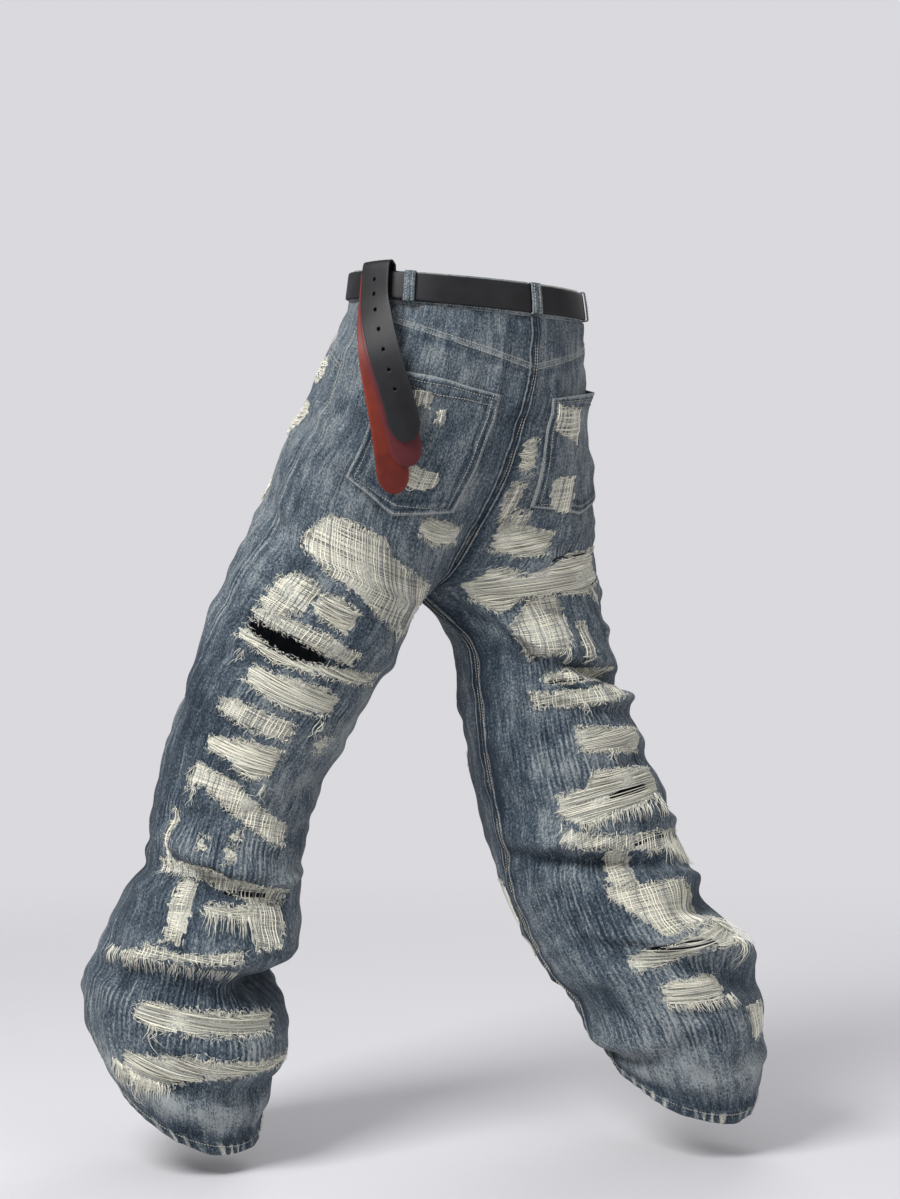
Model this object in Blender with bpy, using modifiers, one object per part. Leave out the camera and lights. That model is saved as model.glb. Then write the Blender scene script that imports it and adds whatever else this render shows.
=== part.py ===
"""Wide-leg ripped jeans with their own belt, hollow, in the stride they are worn in.

The origin is the middle of the waist. +Z is up, the front faces -Y, the left leg is at +X.
Stations are metres down the middle of a leg. A place across a leg is a share from the
side seam (0) to the inseam or centre seam: +1 round the back, -1 round the front.
"""

import math

import bmesh
import bpy
import numpy as np
from mathutils import Matrix

OBJECT_NAME = "ripped_jeans"

# Denim walls and the gaps at seams
CLOTH = 0.0020
SEAM_GAP = 0.0003
SEAM_SHARE = 0.0006
CENTRE_GAP = 0.00015
SEAM_STIFFNESS = 0.45
HEM_HEIGHT = 0.016
HEM_EXTRA = 0.0011

# Stations, from the top edge of the waistband
WAISTBAND = 0.040
YOKE_AT_SIDE = 0.055
YOKE_AT_CENTRE = 0.105
POCKET_MOUTH_SIDE = 0.130
POCKET_MOUTH_SHARE = 0.60
POCKET_MOUTH_END = 0.0020
PLAIN_ROWS_FROM = 0.165
CROTCH = 0.370
HEM = 1.070

# Below the yoke the centre seam leans this far towards the left leg, which steps forward
CENTRE_LEAN = 0.022
LEAN_FROM = 0.090
LEAN_FULL = 0.200

# Below the crotch: the depths over which the turn, the join and the stiff inseam come and go
TWIST_GROWS = 0.12
JOINED_FADES = 0.10
STIFF_GROWS = 0.06

# Steps over which a direction on the cloth is measured, as a share and as a station
SHARE_STEP = 0.02
STATION_STEP = 0.004
AXIS_STEP = 0.010

# Columns: station, x, y, z of the centre, half width, half depth, roll and pitch of the
# ring as rise per metre, and how far the cloth is turned round the leg in degrees
LEFT_SECTIONS = (
    (0.000, 0.000, 0.000, 0.000, 0.150, 0.118, 0.00, -0.12, 0),
    (0.040, 0.000, 0.000, -0.040, 0.156, 0.122, 0.01, -0.12, 0),
    (0.115, 0.006, -0.012, -0.112, 0.172, 0.132, 0.08, -0.16, 0),
    (0.200, 0.034, -0.044, -0.195, 0.150, 0.138, 0.20, -0.22, 0),
    (0.285, 0.076, -0.092, -0.275, 0.124, 0.118, 0.32, -0.26, 0),
    (0.370, 0.118, -0.124, -0.350, 0.096, 0.104, 0.40, -0.30, 0),
    (0.430, 0.140, -0.132, -0.405, 0.100, 0.102, 0.40, -0.33, -5),
    (0.530, 0.180, -0.153, -0.500, 0.097, 0.096, 0.36, -0.33, -15),
    (0.630, 0.208, -0.180, -0.595, 0.094, 0.096, 0.26, -0.24, -20),
    (0.720, 0.227, -0.190, -0.680, 0.094, 0.097, 0.16, -0.05, -20),
    (0.800, 0.249, -0.190, -0.755, 0.106, 0.110, 0.14, 0.02, -15),
    (0.870, 0.274, -0.188, -0.820, 0.115, 0.116, 0.14, -0.05, -10),
    (0.940, 0.293, -0.187, -0.880, 0.118, 0.120, 0.14, -0.20, -10),
    (1.010, 0.300, -0.180, -0.938, 0.107, 0.110, 0.14, -0.45, -10),
    (1.070, 0.298, -0.172, -0.976, 0.087, 0.092, 0.10, -0.68, -10),
)
RIGHT_SECTIONS = (
    (0.000, 0.000, 0.000, 0.000, 0.150, 0.118, 0.00, -0.12, 0),
    (0.040, 0.000, 0.000, -0.040, 0.156, 0.122, -0.01, -0.12, 0),
    (0.115, -0.003, -0.010, -0.112, 0.164, 0.132, -0.02, -0.12, 0),
    (0.200, -0.024, -0.016, -0.195, 0.140, 0.139, -0.05, -0.10, 0),
    (0.285, -0.066, -0.024, -0.275, 0.119, 0.130, -0.10, -0.06, 0),
    (0.370, -0.084, -0.022, -0.350, 0.106, 0.117, -0.14, 0.00, 0),
    (0.430, -0.109, -0.018, -0.410, 0.093, 0.103, -0.14, 0.04, 0),
    (0.520, -0.127, -0.013, -0.500, 0.097, 0.103, -0.14, 0.10, 0),
    (0.600, -0.143, 0.000, -0.580, 0.104, 0.110, -0.14, 0.22, 5),
    (0.680, -0.158, 0.024, -0.660, 0.108, 0.114, -0.14, 0.30, 10),
    (0.760, -0.171, 0.046, -0.735, 0.108, 0.114, -0.12, 0.28, 20),
    (0.830, -0.185, 0.080, -0.795, 0.113, 0.120, -0.10, 0.20, 25),
    (0.900, -0.202, 0.118, -0.850, 0.123, 0.129, -0.08, 0.05, 25),
    (0.970, -0.209, 0.142, -0.905, 0.112, 0.120, -0.06, -0.15, 20),
    (1.030, -0.211, 0.154, -0.945, 0.099, 0.107, -0.04, -0.36, 15),
    (1.070, -0.210, 0.158, -0.968, 0.088, 0.096, -0.02, -0.52, 10),
)

# Folds. Columns: station, angle round the leg and its reach in degrees, half height,
# depth outwards, slope along the station for each 90 degrees, and how far the cloth sags.
# The angle is 0 at the outer side, 90 at the back and 180 at the inner side.
LEFT_FOLDS = (
    (0.330, -10, 60, 0.030, -0.008, 0.10, 0.000),
    (0.300, -100, 55, 0.026, -0.009, 0.12, 0.000),
    (0.452, 48, 60, 0.016, 0.007, 0.00, 0.004),
    (0.488, 48, 60, 0.014, 0.006, 0.00, 0.000),
    (0.470, 48, 55, 0.012, -0.014, 0.00, 0.000),
    (0.560, -60, 60, 0.030, -0.009, 0.06, 0.000),
    (0.620, 120, 60, 0.024, -0.007, -0.05, 0.000),
    (0.660, -100, 70, 0.022, -0.012, 0.04, 0.000),
    (0.740, 60, 85, 0.022, 0.012, 0.03, 0.012),
    (0.778, 60, 90, 0.016, -0.020, 0.03, 0.000),
    (0.765, -40, 70, 0.020, -0.016, 0.00, 0.000),
    (0.840, 90, 100, 0.024, 0.018, -0.02, 0.018),
    (0.885, 118, 95, 0.017, -0.040, -0.01, 0.000),
    (0.890, 20, 50, 0.014, -0.010, -0.01, 0.000),
    (0.870, -110, 70, 0.020, -0.018, 0.04, 0.006),
    (0.955, 115, 85, 0.026, 0.016, 0.00, 0.008),
    (0.990, 95, 85, 0.012, -0.012, -0.01, 0.000),
    (0.985, -95, 60, 0.018, -0.014, 0.03, 0.000),
)
RIGHT_FOLDS = (
    (0.300, -80, 55, 0.026, -0.009, 0.12, 0.000),
    (0.480, 85, 85, 0.026, 0.012, -0.06, 0.012),
    (0.512, 72, 85, 0.015, -0.030, -0.06, 0.000),
    (0.545, 52, 62, 0.018, 0.016, 0.00, 0.006),
    (0.590, -90, 70, 0.026, -0.012, 0.04, 0.000),
    (0.640, 70, 60, 0.020, -0.008, 0.00, 0.000),
    (0.705, 150, 60, 0.020, 0.014, -0.06, 0.010),
    (0.740, 140, 70, 0.014, -0.018, -0.06, 0.000),
    (0.700, -70, 60, 0.020, -0.014, 0.04, 0.004),
    (0.822, 66, 50, 0.016, -0.024, 0.00, 0.000),
    (0.861, 92, 66, 0.014, 0.024, -0.05, 0.014),
    (0.892, 95, 70, 0.014, -0.014, -0.05, 0.000),
    (0.860, -80, 60, 0.020, -0.016, 0.03, 0.000),
    (0.930, 190, 55, 0.028, -0.014, 0.02, 0.000),
    (0.985, 180, 60, 0.018, 0.014, 0.05, 0.006),
    (1.015, 180, 60, 0.012, -0.010, 0.05, 0.000),
)

# Rips cut through. Columns: station, share from and to, and how wide the rip gapes
RIPS = {
    "back_left": (
        (0.470, 0.17, 0.47, 0.021),
        (0.786, 0.43, 0.64, 0.008),
        (0.985, 0.21, 0.50, 0.007),
    ),
    "back_right": (
        (0.356, 0.43, 0.64, 0.007),
        (0.512, 0.50, 0.71, 0.006),
        (0.676, 0.36, 0.57, 0.008),
        (0.738, 0.29, 0.50, 0.007),
        (0.856, 0.36, 0.57, 0.013),
    ),
    "front_left": (
        (0.215, -0.40, -0.20, 0.008),
        (0.560, -0.70, -0.30, 0.014),
        (0.660, -0.60, -0.30, 0.010),
    ),
    "front_right": (
        (0.335, -0.60, -0.30, 0.008),
        (0.590, -0.70, -0.30, 0.016),
        (0.700, -0.60, -0.20, 0.010),
    ),
}

# Grid of the panels
BACK_COLUMNS = 14
FRONT_COLUMNS = 10
RISE_ROWS = (
    0.040, 0.065, 0.090, 0.115, 0.140, 0.165, 0.190, 0.215,
    0.240, 0.268, 0.292, 0.314, 0.335, 0.356, CROTCH,
)
PLAIN_STEP = 0.036
FOLD_STEP = 0.0165
LAST_ROW_CLEAR = 0.008
RIP_TAKES_ROW = 0.009
HEM_STEP = 0.001

# Back pockets, in whole cells of the back panel's grid
POCKET_COLUMNS = (4, 12)
POCKET_TOP = 0.131
POCKET_CORNER = 0.268
POCKET_POINT = 0.290
POCKET_NARROWING = 0.17
POCKET_CLOTH = 0.0015
POCKET_GAPE = 0.012
POCKET_GAPE_ROWS = 1.5
POCKET_TIP_KEEPS = 0.08

# Belt and its loops
BELT_TOP = 0.0032
BELT_BOTTOM = 0.0362
BELT_THICK = 0.0034
BAND_CLOTH = 0.0032
BELT_OFF = 0.0010
BUTTON_ROOM = 0.0042
HOOK_ROOM = 0.0058
LOOP_WIDE = 0.013
LOOP_CLOTH = 0.0018
LOOP_OFF_BELT = 0.0012
WAIST_ROUND = 0.86
BELT_POINTS = 64
BAND_POINTS = 49
# Columns: leg, share
LOOPS = (("left", -0.62), ("left", 0.32), ("left", 1.0), ("right", 0.42), ("right", -0.62))

# Belt ends at the left hip. Columns: station, share of the middle of the strap
TAIL_TURN = 0.281
TAIL_THICK = 0.0022
TAIL_LAYER = 0.0027
TAIL_FAN = 0.0058
TAIL_CLEAR = 0.0080
STRAP_OFF_BELT = 0.0006
BLACK_ROUTE = (
    (0.000, 0.130),
    (0.040, 0.145),
    (0.082, 0.225),
    (0.125, 0.330),
    (0.166, 0.425),
    (0.206, 0.505),
)
BURGUNDY_ROUTE = (
    (0.006, 0.120),
    (0.050, 0.135),
    (0.100, 0.240),
    (0.146, 0.345),
    (0.190, 0.445),
    (0.231, 0.545),
)
RED_ROUTE = (
    (0.006, 0.100),
    (0.060, 0.120),
    (0.110, 0.215),
    (0.160, 0.310),
    (0.212, 0.415),
    (0.265, 0.540),
)
TAIL_WIDE = 0.038
TAIL_POINTS = 16

# Buckle and waist button, at the centre front
FRAME_WIDE = 0.050
FRAME_HIGH = 0.046
FRAME_BAR = 0.0040
FRAME_RIM = 0.0060
PRONG_THICK = 0.0044
BUTTON_RADIUS = 0.0085
BUTTON_HIGH = 0.0028
BUTTON_OFF = 0.0010

# Bands of loose threads. Columns: name, leg, station, share from and to, strands, length,
# and how far the strip that holds them lies off the cloth
FRINGES = (
    ("fringe_knee_left", "left", 0.814, 0.38, 0.58, 11, 0.018, 0.0012),
    ("fringe_calf_left", "left", 0.872, 0.04, 0.34, 15, 0.018, 0.0008),
    ("fringe_shin_left", "left", 1.002, 0.10, 0.30, 13, 0.026, 0.0008),
    ("fringe_knee_right", "right", 0.700, 0.30, 0.62, 15, 0.018, 0.0008),
    ("fringe_side_right", "right", 0.752, 0.20, 0.34, 13, 0.030, 0.0004),
    ("fringe_shin_right", "right", 0.920, 0.34, 0.60, 13, 0.016, 0.0008),
)

FRINGE_STRIP = 0.004
FRINGE_CLOTH = 0.0010

# Colours as red, green, blue, then roughness and metallic
DENIM = (0.13, 0.18, 0.25, 0.9, 0.0)
DENIM_DARK = (0.06, 0.09, 0.15, 0.9, 0.0)
THREAD = (0.62, 0.58, 0.46, 0.95, 0.0)
BLACK_LEATHER = (0.03, 0.03, 0.035, 0.55, 0.0)
BURGUNDY_LEATHER = (0.17, 0.03, 0.045, 0.5, 0.0)
RED_LEATHER = (0.40, 0.07, 0.035, 0.5, 0.0)
METAL = (0.45, 0.43, 0.40, 0.35, 1.0)


def clear_scene():
    for obj in list(bpy.data.objects):
        bpy.data.objects.remove(obj, do_unlink=True)


def smooth(start, end, value):
    """0 up to start, 1 from end on, and an even rise between them."""
    share = np.clip((value - start) / (end - start), 0.0, 1.0)
    return share * share * (3.0 - 2.0 * share)


def along_table(rows, station):
    """Each column of a table at these stations, by a smooth curve through its rows."""
    table = np.array(rows, float)
    keys, values = table[:, 0], table[:, 1:]
    step = np.diff(keys)[:, None]
    rise = np.diff(values, axis=0) / step
    slope = np.zeros_like(values)
    slope[1:-1] = (rise[:-1] * step[1:] + rise[1:] * step[:-1]) / (step[1:] + step[:-1])
    slope[0] = rise[0]
    slope[-1] = rise[-1]
    station = np.clip(station, keys[0], keys[-1])
    low = np.clip(np.searchsorted(keys, station, side="right") - 1, 0, len(keys) - 2)
    gap = (keys[low + 1] - keys[low])[..., None]
    t = (station - keys[low])[..., None] / gap
    return (
        (2 * t**3 - 3 * t**2 + 1) * values[low]
        + (t**3 - 2 * t**2 + t) * gap * slope[low]
        + (3 * t**2 - 2 * t**3) * values[low + 1]
        + (t**3 - t**2) * gap * slope[low + 1]
    )


def sections_of(leg):
    return LEFT_SECTIONS if leg == "left" else RIGHT_SECTIONS


def other_leg(leg):
    return "right" if leg == "left" else "left"


def centre_seam(station):
    """How far to the left the centre seam lies, front and back."""
    return CENTRE_LEAN * smooth(LEAN_FROM, LEAN_FULL, station)


def ring_point(leg, share, station):
    """A point on the plain ring of a leg, with its angle round the leg."""
    side = 1 if leg == "left" else -1
    ring = np.moveaxis(along_table(sections_of(leg), station), -1, 0)
    x, y, z, wide, deep, roll, pitch, twist = ring
    to_seam = np.clip(side * (x - centre_seam(station)) / wide, -1, 1)
    reach = np.where(station < CROTCH, np.arccos(-to_seam), math.pi)
    below = smooth(CROTCH, CROTCH + TWIST_GROWS, station)
    angle = share * reach + np.radians(twist) * (1 - share**2 * (1 - below))
    across = side * wide * np.cos(angle)
    back = deep * np.sin(angle)
    return np.stack([x + across, y + back, z + roll * across + pitch * back], -1), angle


def fold_shift(leg, share, station, angle):
    """How far the folds move the cloth out of the plain ring and down the leg."""
    side = 1 if leg == "left" else -1
    table = sections_of(leg)
    axis = (along_table(table, station + AXIS_STEP) - along_table(table, station - AXIS_STEP))[..., :3]
    axis /= np.linalg.norm(axis, axis=-1, keepdims=True)
    out = np.stack([side * np.cos(angle), np.sin(angle), 0 * angle], -1)
    out -= (out * axis).sum(-1, keepdims=True) * axis
    out /= np.linalg.norm(out, axis=-1, keepdims=True)
    lift = np.zeros_like(station)
    sag = np.zeros_like(station)
    folds = LEFT_FOLDS if leg == "left" else RIGHT_FOLDS
    for middle, turn, reach, half, height, slope, drop in folds:
        away = (np.degrees(angle) - turn + 180) % 360 - 180
        crossing = (station - middle - slope * away / 90) / half
        strength = np.exp(-(crossing**2)) * np.clip(1 - (away / reach) ** 2, 0, 1) ** 2
        lift += height * strength
        sag += drop * strength
    stiff = 1 - (1 - SEAM_STIFFNESS) * smooth(CROTCH, CROTCH + STIFF_GROWS, station)
    flat_seam = 1 - stiff * np.abs(share) ** 6
    return (out * lift[..., None] + axis * sag[..., None]) * flat_seam[..., None]


def cloth_point(leg, share, station):
    """A point on the outer face of the cloth. In the rise both halves meet at the centre."""
    share, station = np.broadcast_arrays(np.asarray(share, float), np.asarray(station, float))
    point, angle = ring_point(leg, share, station)
    edge = np.where(share < 0, -1.0, 1.0)
    rise = np.minimum(station, CROTCH)
    own = ring_point(leg, edge, rise)[0]
    pull = (ring_point(other_leg(leg), edge, rise)[0] - own) / 2
    pull[..., 0] = centre_seam(rise) - own[..., 0]
    fade = 1 - smooth(CROTCH, CROTCH + JOINED_FADES, station)
    point = point + pull * (np.abs(share) ** 4 * fade)[..., None]
    point = point + fold_shift(leg, share, station, angle)
    point[..., 0] += CENTRE_GAP if leg == "left" else -CENTRE_GAP
    return point


def round_the_seam(leg, share, station):
    """The same as cloth_point, but a share past 1 goes on over the seam."""
    inside = np.clip(share, -1, 1)
    past = np.where(share > 1, 2 - share, -2 - share)
    over = np.where(station < CROTCH, past, -past)
    point = cloth_point(leg, inside, station)
    across = np.where((station < CROTCH)[..., None], cloth_point(other_leg(leg), past, station),
                      cloth_point(leg, np.clip(over, -1, 1), station))
    return np.where((np.abs(share) > 1)[..., None], across, point)


def outward(leg, share, station):
    """The direction square to the cloth, out of the leg. Both sides of a seam get the same."""
    share, station = np.broadcast_arrays(np.asarray(share, float), np.asarray(station, float))
    after = round_the_seam(leg, share + SHARE_STEP, station)
    around = after - round_the_seam(leg, share - SHARE_STEP, station)
    below = cloth_point(leg, share, station + STATION_STEP)
    down = below - cloth_point(leg, share, station - STATION_STEP)
    square = np.cross(around, down) if leg == "right" else np.cross(down, around)
    return square / np.linalg.norm(square, axis=-1, keepdims=True)


def yoke_edge(share):
    return YOKE_AT_SIDE + (YOKE_AT_CENTRE - YOKE_AT_SIDE) * share


def pocket_mouth(share):
    """The front panel's top edge, scooped out from the waistband to the side seam."""
    depth = np.clip(1 - np.abs(share) / POCKET_MOUTH_SHARE, 0, 1) ** 0.7
    step = np.where(np.abs(share) < POCKET_MOUTH_SHARE + 0.01, POCKET_MOUTH_END, SEAM_GAP)
    return WAISTBAND + step + (POCKET_MOUTH_SIDE - WAISTBAND) * depth


def grid_shares(half, columns, station):
    """Shares of the columns at a station. On the back they close in beside the pocket."""
    shares = np.linspace(0, 1, columns + 1) if half == "back" else np.linspace(-1, 0, columns + 1)
    if half == "front":
        return shares
    narrow = POCKET_NARROWING * np.interp(station, (PLAIN_ROWS_FROM, POCKET_CORNER, CROTCH), (0, 1, 0))
    return 0.5 + (shares - 0.5) * (1 - narrow * (1 - (2 * shares - 1) ** 2))


def leg_rows(leg):
    """Stations of the rows of both panels of a leg, closer together at its folds."""
    folds = LEFT_FOLDS if leg == "left" else RIGHT_FOLDS
    rips = [row[0] for half in ("back", "front") for row in RIPS[f"{half}_{leg}"]]
    rows = list(RISE_ROWS)
    hem = HEM - HEM_HEIGHT
    while rows[-1] < hem:
        station = rows[-1]
        folded = any(abs(station + FOLD_STEP - fold[0]) < 1.2 * fold[3] for fold in folds)
        rows.append(station + (FOLD_STEP if folded else PLAIN_STEP))
    rows = [row for row in rows if row < hem - LAST_ROW_CLEAR]
    for rip in rips:
        nearest = min(range(len(rows)), key=lambda index: abs(rows[index] - rip))
        if abs(rows[nearest] - rip) < RIP_TAKES_ROW:
            rows[nearest] = rip
        else:
            rows = sorted(rows + [rip])
    return rows + [hem, hem + HEM_STEP, HEM]


def panel_stations(half, rows, shares):
    """Stations of every grid point. The top rows are squeezed under the slanted top edge."""
    top = yoke_edge(shares) if half == "back" else pocket_mouth(shares)
    rows = np.array(rows)[:, None]
    first = rows[0, 0]
    squeezed = top + (rows - first) * (PLAIN_ROWS_FROM - top) / (PLAIN_ROWS_FROM - first)
    return np.where(rows < PLAIN_ROWS_FROM, squeezed, rows + 0 * top)


def clear_of_seams(half, shares):
    """The same shares, drawn in a little from each seam."""
    inset = np.clip(shares, -1 + SEAM_SHARE, 1 - SEAM_SHARE)
    return np.maximum(inset, SEAM_SHARE) if half == "back" else np.minimum(inset, -SEAM_SHARE)


def panel_grid(leg, half):
    """Outer points, outward directions, stations and shares of a leg panel's grid."""
    columns = BACK_COLUMNS if half == "back" else FRONT_COLUMNS
    rows = leg_rows(leg)
    shares = np.stack([grid_shares(half, columns, row) for row in rows])
    stations = panel_stations(half, rows, shares)
    points = cloth_point(leg, clear_of_seams(half, shares), stations)
    return points, outward(leg, shares, stations), stations, shares


def wall_mesh(name, quads, outer, inner):
    """A closed wall from outer faces: the same faces inside and a strip along each edge.

    The strip's quads are all split the same way, so that two walls fit along a seam.
    """
    count = len(outer)
    faces = list(quads)
    faces += [tuple(corner + count for corner in reversed(quad)) for quad in quads]
    edges = {(quad[i], quad[(i + 1) % 4]) for quad in quads for i in range(4)}
    for first, second in sorted(edges):
        if (second, first) in edges:
            continue
        if first < second:
            faces.append((second, first, second + count))
            faces.append((first, first + count, second + count))
        else:
            faces.append((second, first, first + count))
            faces.append((second, first + count, second + count))
    mesh = bpy.data.meshes.new(name)
    mesh.from_pydata([tuple(point) for point in (*outer, *inner)], [], faces)
    mesh.validate()
    return mesh


def grid_quads(rows, columns):
    return [
        (row * columns + column, row * columns + column + 1,
         (row + 1) * columns + column + 1, (row + 1) * columns + column)
        for row in range(rows - 1)
        for column in range(columns - 1)
    ]


def turn_faces_out(mesh):
    shape = bmesh.new()
    shape.from_mesh(mesh)
    bmesh.ops.recalc_face_normals(shape, faces=shape.faces)
    if shape.calc_volume(signed=True) < 0:
        bmesh.ops.reverse_faces(shape, faces=shape.faces)
    shape.to_mesh(mesh)
    shape.free()


def paint(mesh, name, colour):
    red, green, blue, roughness, metallic = colour
    material = bpy.data.materials.new(name)
    material.use_nodes = True
    finish = material.node_tree.nodes["Principled BSDF"]
    finish.inputs["Base Color"].default_value = (red, green, blue, 1)
    finish.inputs["Roughness"].default_value = roughness
    finish.inputs["Metallic"].default_value = metallic
    mesh.materials.append(material)
    mesh.shade_smooth()
    mesh.set_sharp_from_angle(angle=math.radians(50))


def add_object(name, mesh, colour):
    turn_faces_out(mesh)
    paint(mesh, name, colour)
    obj = bpy.data.objects.new(name, mesh)
    obj.parent = HOLDER
    PARTS.objects.link(obj)


def leg_panel(leg, half):
    """A leg panel with its rips: along a rip each point is doubled and the lips move apart."""
    name = f"{half}_{leg}"
    points, normals, stations, shares = panel_grid(leg, half)
    rows, columns = stations.shape
    down = np.gradient(points, axis=0)
    down /= np.linalg.norm(down, axis=-1, keepdims=True)
    hem = stations > HEM - HEM_HEIGHT + HEM_STEP / 2
    points = points + normals * np.where(hem, HEM_EXTRA, 0)[..., None]
    thick = np.where(hem, CLOTH + 2 * HEM_EXTRA, CLOTH)
    lips = {}
    for station, start, end, gape in RIPS[name]:
        row = int(np.argmin(abs(stations[:, columns // 2] - station)))
        first = int(np.argmin(abs(shares[row] - start)))
        last = int(np.argmin(abs(shares[row] - end)))
        for column in range(first + 1, last):
            middle = math.sin(math.pi * (column - first) / (last - first)) ** 0.6
            lips[row, column] = gape / 2 * middle
    outer, thickness, directions, index = [], [], [], {}
    for row in range(rows):
        for column in range(columns):
            half_gap = lips.get((row, column), 0)
            for lip in (-1, 1) if half_gap else (0,):
                index[row, column, lip] = len(outer)
                outer.append(points[row, column] + lip * half_gap * down[row, column])
                thickness.append(thick[row, column])
                directions.append(normals[row, column])

    def corner(row, column, lip):
        return index.get((row, column, lip), index.get((row, column, 0)))

    quads = [
        (corner(row, column, 1), corner(row, column + 1, 1),
         corner(row + 1, column + 1, -1), corner(row + 1, column, -1))
        for row in range(rows - 1)
        for column in range(columns - 1)
    ]
    inner = np.array(outer) - np.array(directions) * np.array(thickness)[:, None]
    add_object(name, wall_mesh(name, quads, outer, inner), DENIM)


def flush_piece(name, leg, half, shares, stations, colour):
    """A piece of cloth in the same layer as the panels, over a grid of shares and stations."""
    points = cloth_point(leg, clear_of_seams(half, shares), stations)
    normals = outward(leg, shares, stations)
    inner = (points - normals * CLOTH).reshape(-1, 3)
    quads = grid_quads(*stations.shape)
    add_object(name, wall_mesh(name, quads, points.reshape(-1, 3), inner), colour)


def yoke(leg):
    depth = np.linspace(0, 1, 3)[:, None]
    shares = grid_shares("back", BACK_COLUMNS, WAISTBAND) + 0 * depth
    high = WAISTBAND + SEAM_GAP
    stations = high + (yoke_edge(shares) - SEAM_GAP - high) * depth
    flush_piece(f"yoke_{leg}", leg, "back", shares, stations, DENIM)


def pocket_facing(leg):
    """The cloth that shows inside the scooped mouth of a front pocket."""
    depth = np.linspace(0, 1, 4)[:, None]
    every = grid_shares("front", FRONT_COLUMNS, WAISTBAND)
    shares = every[every > -POCKET_MOUTH_SHARE - 0.01] + 0 * depth
    high = WAISTBAND + SEAM_GAP
    stations = high + (pocket_mouth(shares) - SEAM_GAP - high) * depth
    flush_piece(f"pocket_facing_{leg}", leg, "front", shares, stations, DENIM_DARK)


def back_pocket(leg):
    """A pointed patch pocket on the back panel's own grid points, its mouth standing off."""
    points, normals, stations, shares = panel_grid(leg, "back")
    first, last = POCKET_COLUMNS
    middle = stations[:, BACK_COLUMNS // 2]
    top = int(np.argmin(abs(middle - POCKET_TOP)))
    corner_row = int(np.argmin(abs(middle - POCKET_CORNER)))
    columns = slice(first, last + 1)
    points = points[top : corner_row + 2, columns].copy()
    normals = normals[top : corner_row + 2, columns].copy()
    next_row = middle[corner_row + 1]
    centre = (last - first) / 2
    for column in range(last - first + 1):
        reach = 1 - abs(column - centre) / centre
        share = (POCKET_POINT - POCKET_CORNER) * reach / (next_row - POCKET_CORNER)
        share = POCKET_TIP_KEEPS + (1 - POCKET_TIP_KEEPS) * min(share, 1)
        points[-1, column] = points[-2, column] * (1 - share) + points[-1, column] * share
    gape = POCKET_GAPE if leg == "right" else POCKET_GAPE / 3
    across = np.linspace(0, 1, points.shape[1])[None, :]
    open_rows = np.clip(1 - np.arange(points.shape[0]) / POCKET_GAPE_ROWS, 0, 1)[:, None]
    lift = SEAM_GAP + 0.0001 + gape * np.sin(np.pi * across) ** 2 * open_rows
    outer = (points + normals * (lift + POCKET_CLOTH)[..., None]).reshape(-1, 3)
    inner = (points + normals * lift[..., None]).reshape(-1, 3)
    name = f"back_pocket_{leg}"
    add_object(name, wall_mesh(name, grid_quads(*lift.shape), outer, inner), DENIM)


def round_waist(turn, station, out):
    """A point round the waist: turn 0 at the front, 0.25 at the left side, 0.5 at the back."""
    turn, station = np.broadcast_arrays(np.asarray(turn, float), np.asarray(station, float))
    left = turn <= 0.5
    share = np.clip(np.where(left, 4 * turn - 1, 3 - 4 * turn), -1, 1)
    is_left = left[..., None]
    point = np.where(is_left, cloth_point("left", share, station), cloth_point("right", share, station))
    normal = np.where(is_left, outward("left", share, station), outward("right", share, station))
    return point + normal * np.asarray(out)[..., None]


def loft_mesh(name, sections, closed):
    """A solid from sections that each hold the same points in order."""
    count, around = sections.shape[:2]
    faces = []
    for index in range(count if closed else count - 1):
        here, there = index * around, (index + 1) % count * around
        for point in range(around):
            following = (point + 1) % around
            faces.append((here + point, here + following, there + following, there + point))
    if not closed:
        faces.append(tuple(reversed(range(around))))
        faces.append(tuple(range((count - 1) * around, count * around)))
    mesh = bpy.data.meshes.new(name)
    mesh.from_pydata([tuple(point) for point in sections.reshape(-1, 3)], [], faces)
    mesh.validate()
    return mesh


def waistband():
    """A doubled band, open at the front, where its left end lies over its right end."""
    turns = np.linspace(0.0005, 0.9995, BAND_POINTS)
    edge = SEAM_GAP
    stations = np.array([0, WAISTBAND / 2, WAISTBAND - edge, WAISTBAND - edge, WAISTBAND / 2, 0])
    outs = np.array([1, 1, 1, 0, 0, 0]) * BAND_CLOTH - CLOTH
    sections = round_waist(turns[:, None], stations[None, :], outs[None, :] + 0 * turns[:, None])
    add_object("waistband", loft_mesh("waistband", sections, False), DENIM)


def belt_out(turn):
    """How far the belt's inner face stands off the waistband, with room at two places."""
    at_button = np.exp(-((((turn + 0.5) % 1 - 0.5) / 0.035) ** 2))
    at_hook = np.exp(-(((turn - TAIL_TURN) / 0.070) ** 2))
    face = BAND_CLOTH - CLOTH
    return face + BELT_OFF + BUTTON_ROOM * at_button + HOOK_ROOM * at_hook


def belt_strap():
    turns = np.linspace(0, 1, BELT_POINTS, endpoint=False)
    stations = np.array([BELT_TOP, BELT_BOTTOM, BELT_BOTTOM, BELT_TOP])
    outs = belt_out(turns)[:, None] + np.array([1, 1, 0, 0]) * BELT_THICK
    sections = round_waist(turns[:, None], stations[None, :], outs)
    add_object("belt_strap", loft_mesh("belt_strap", sections, True), BLACK_LEATHER)


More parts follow.
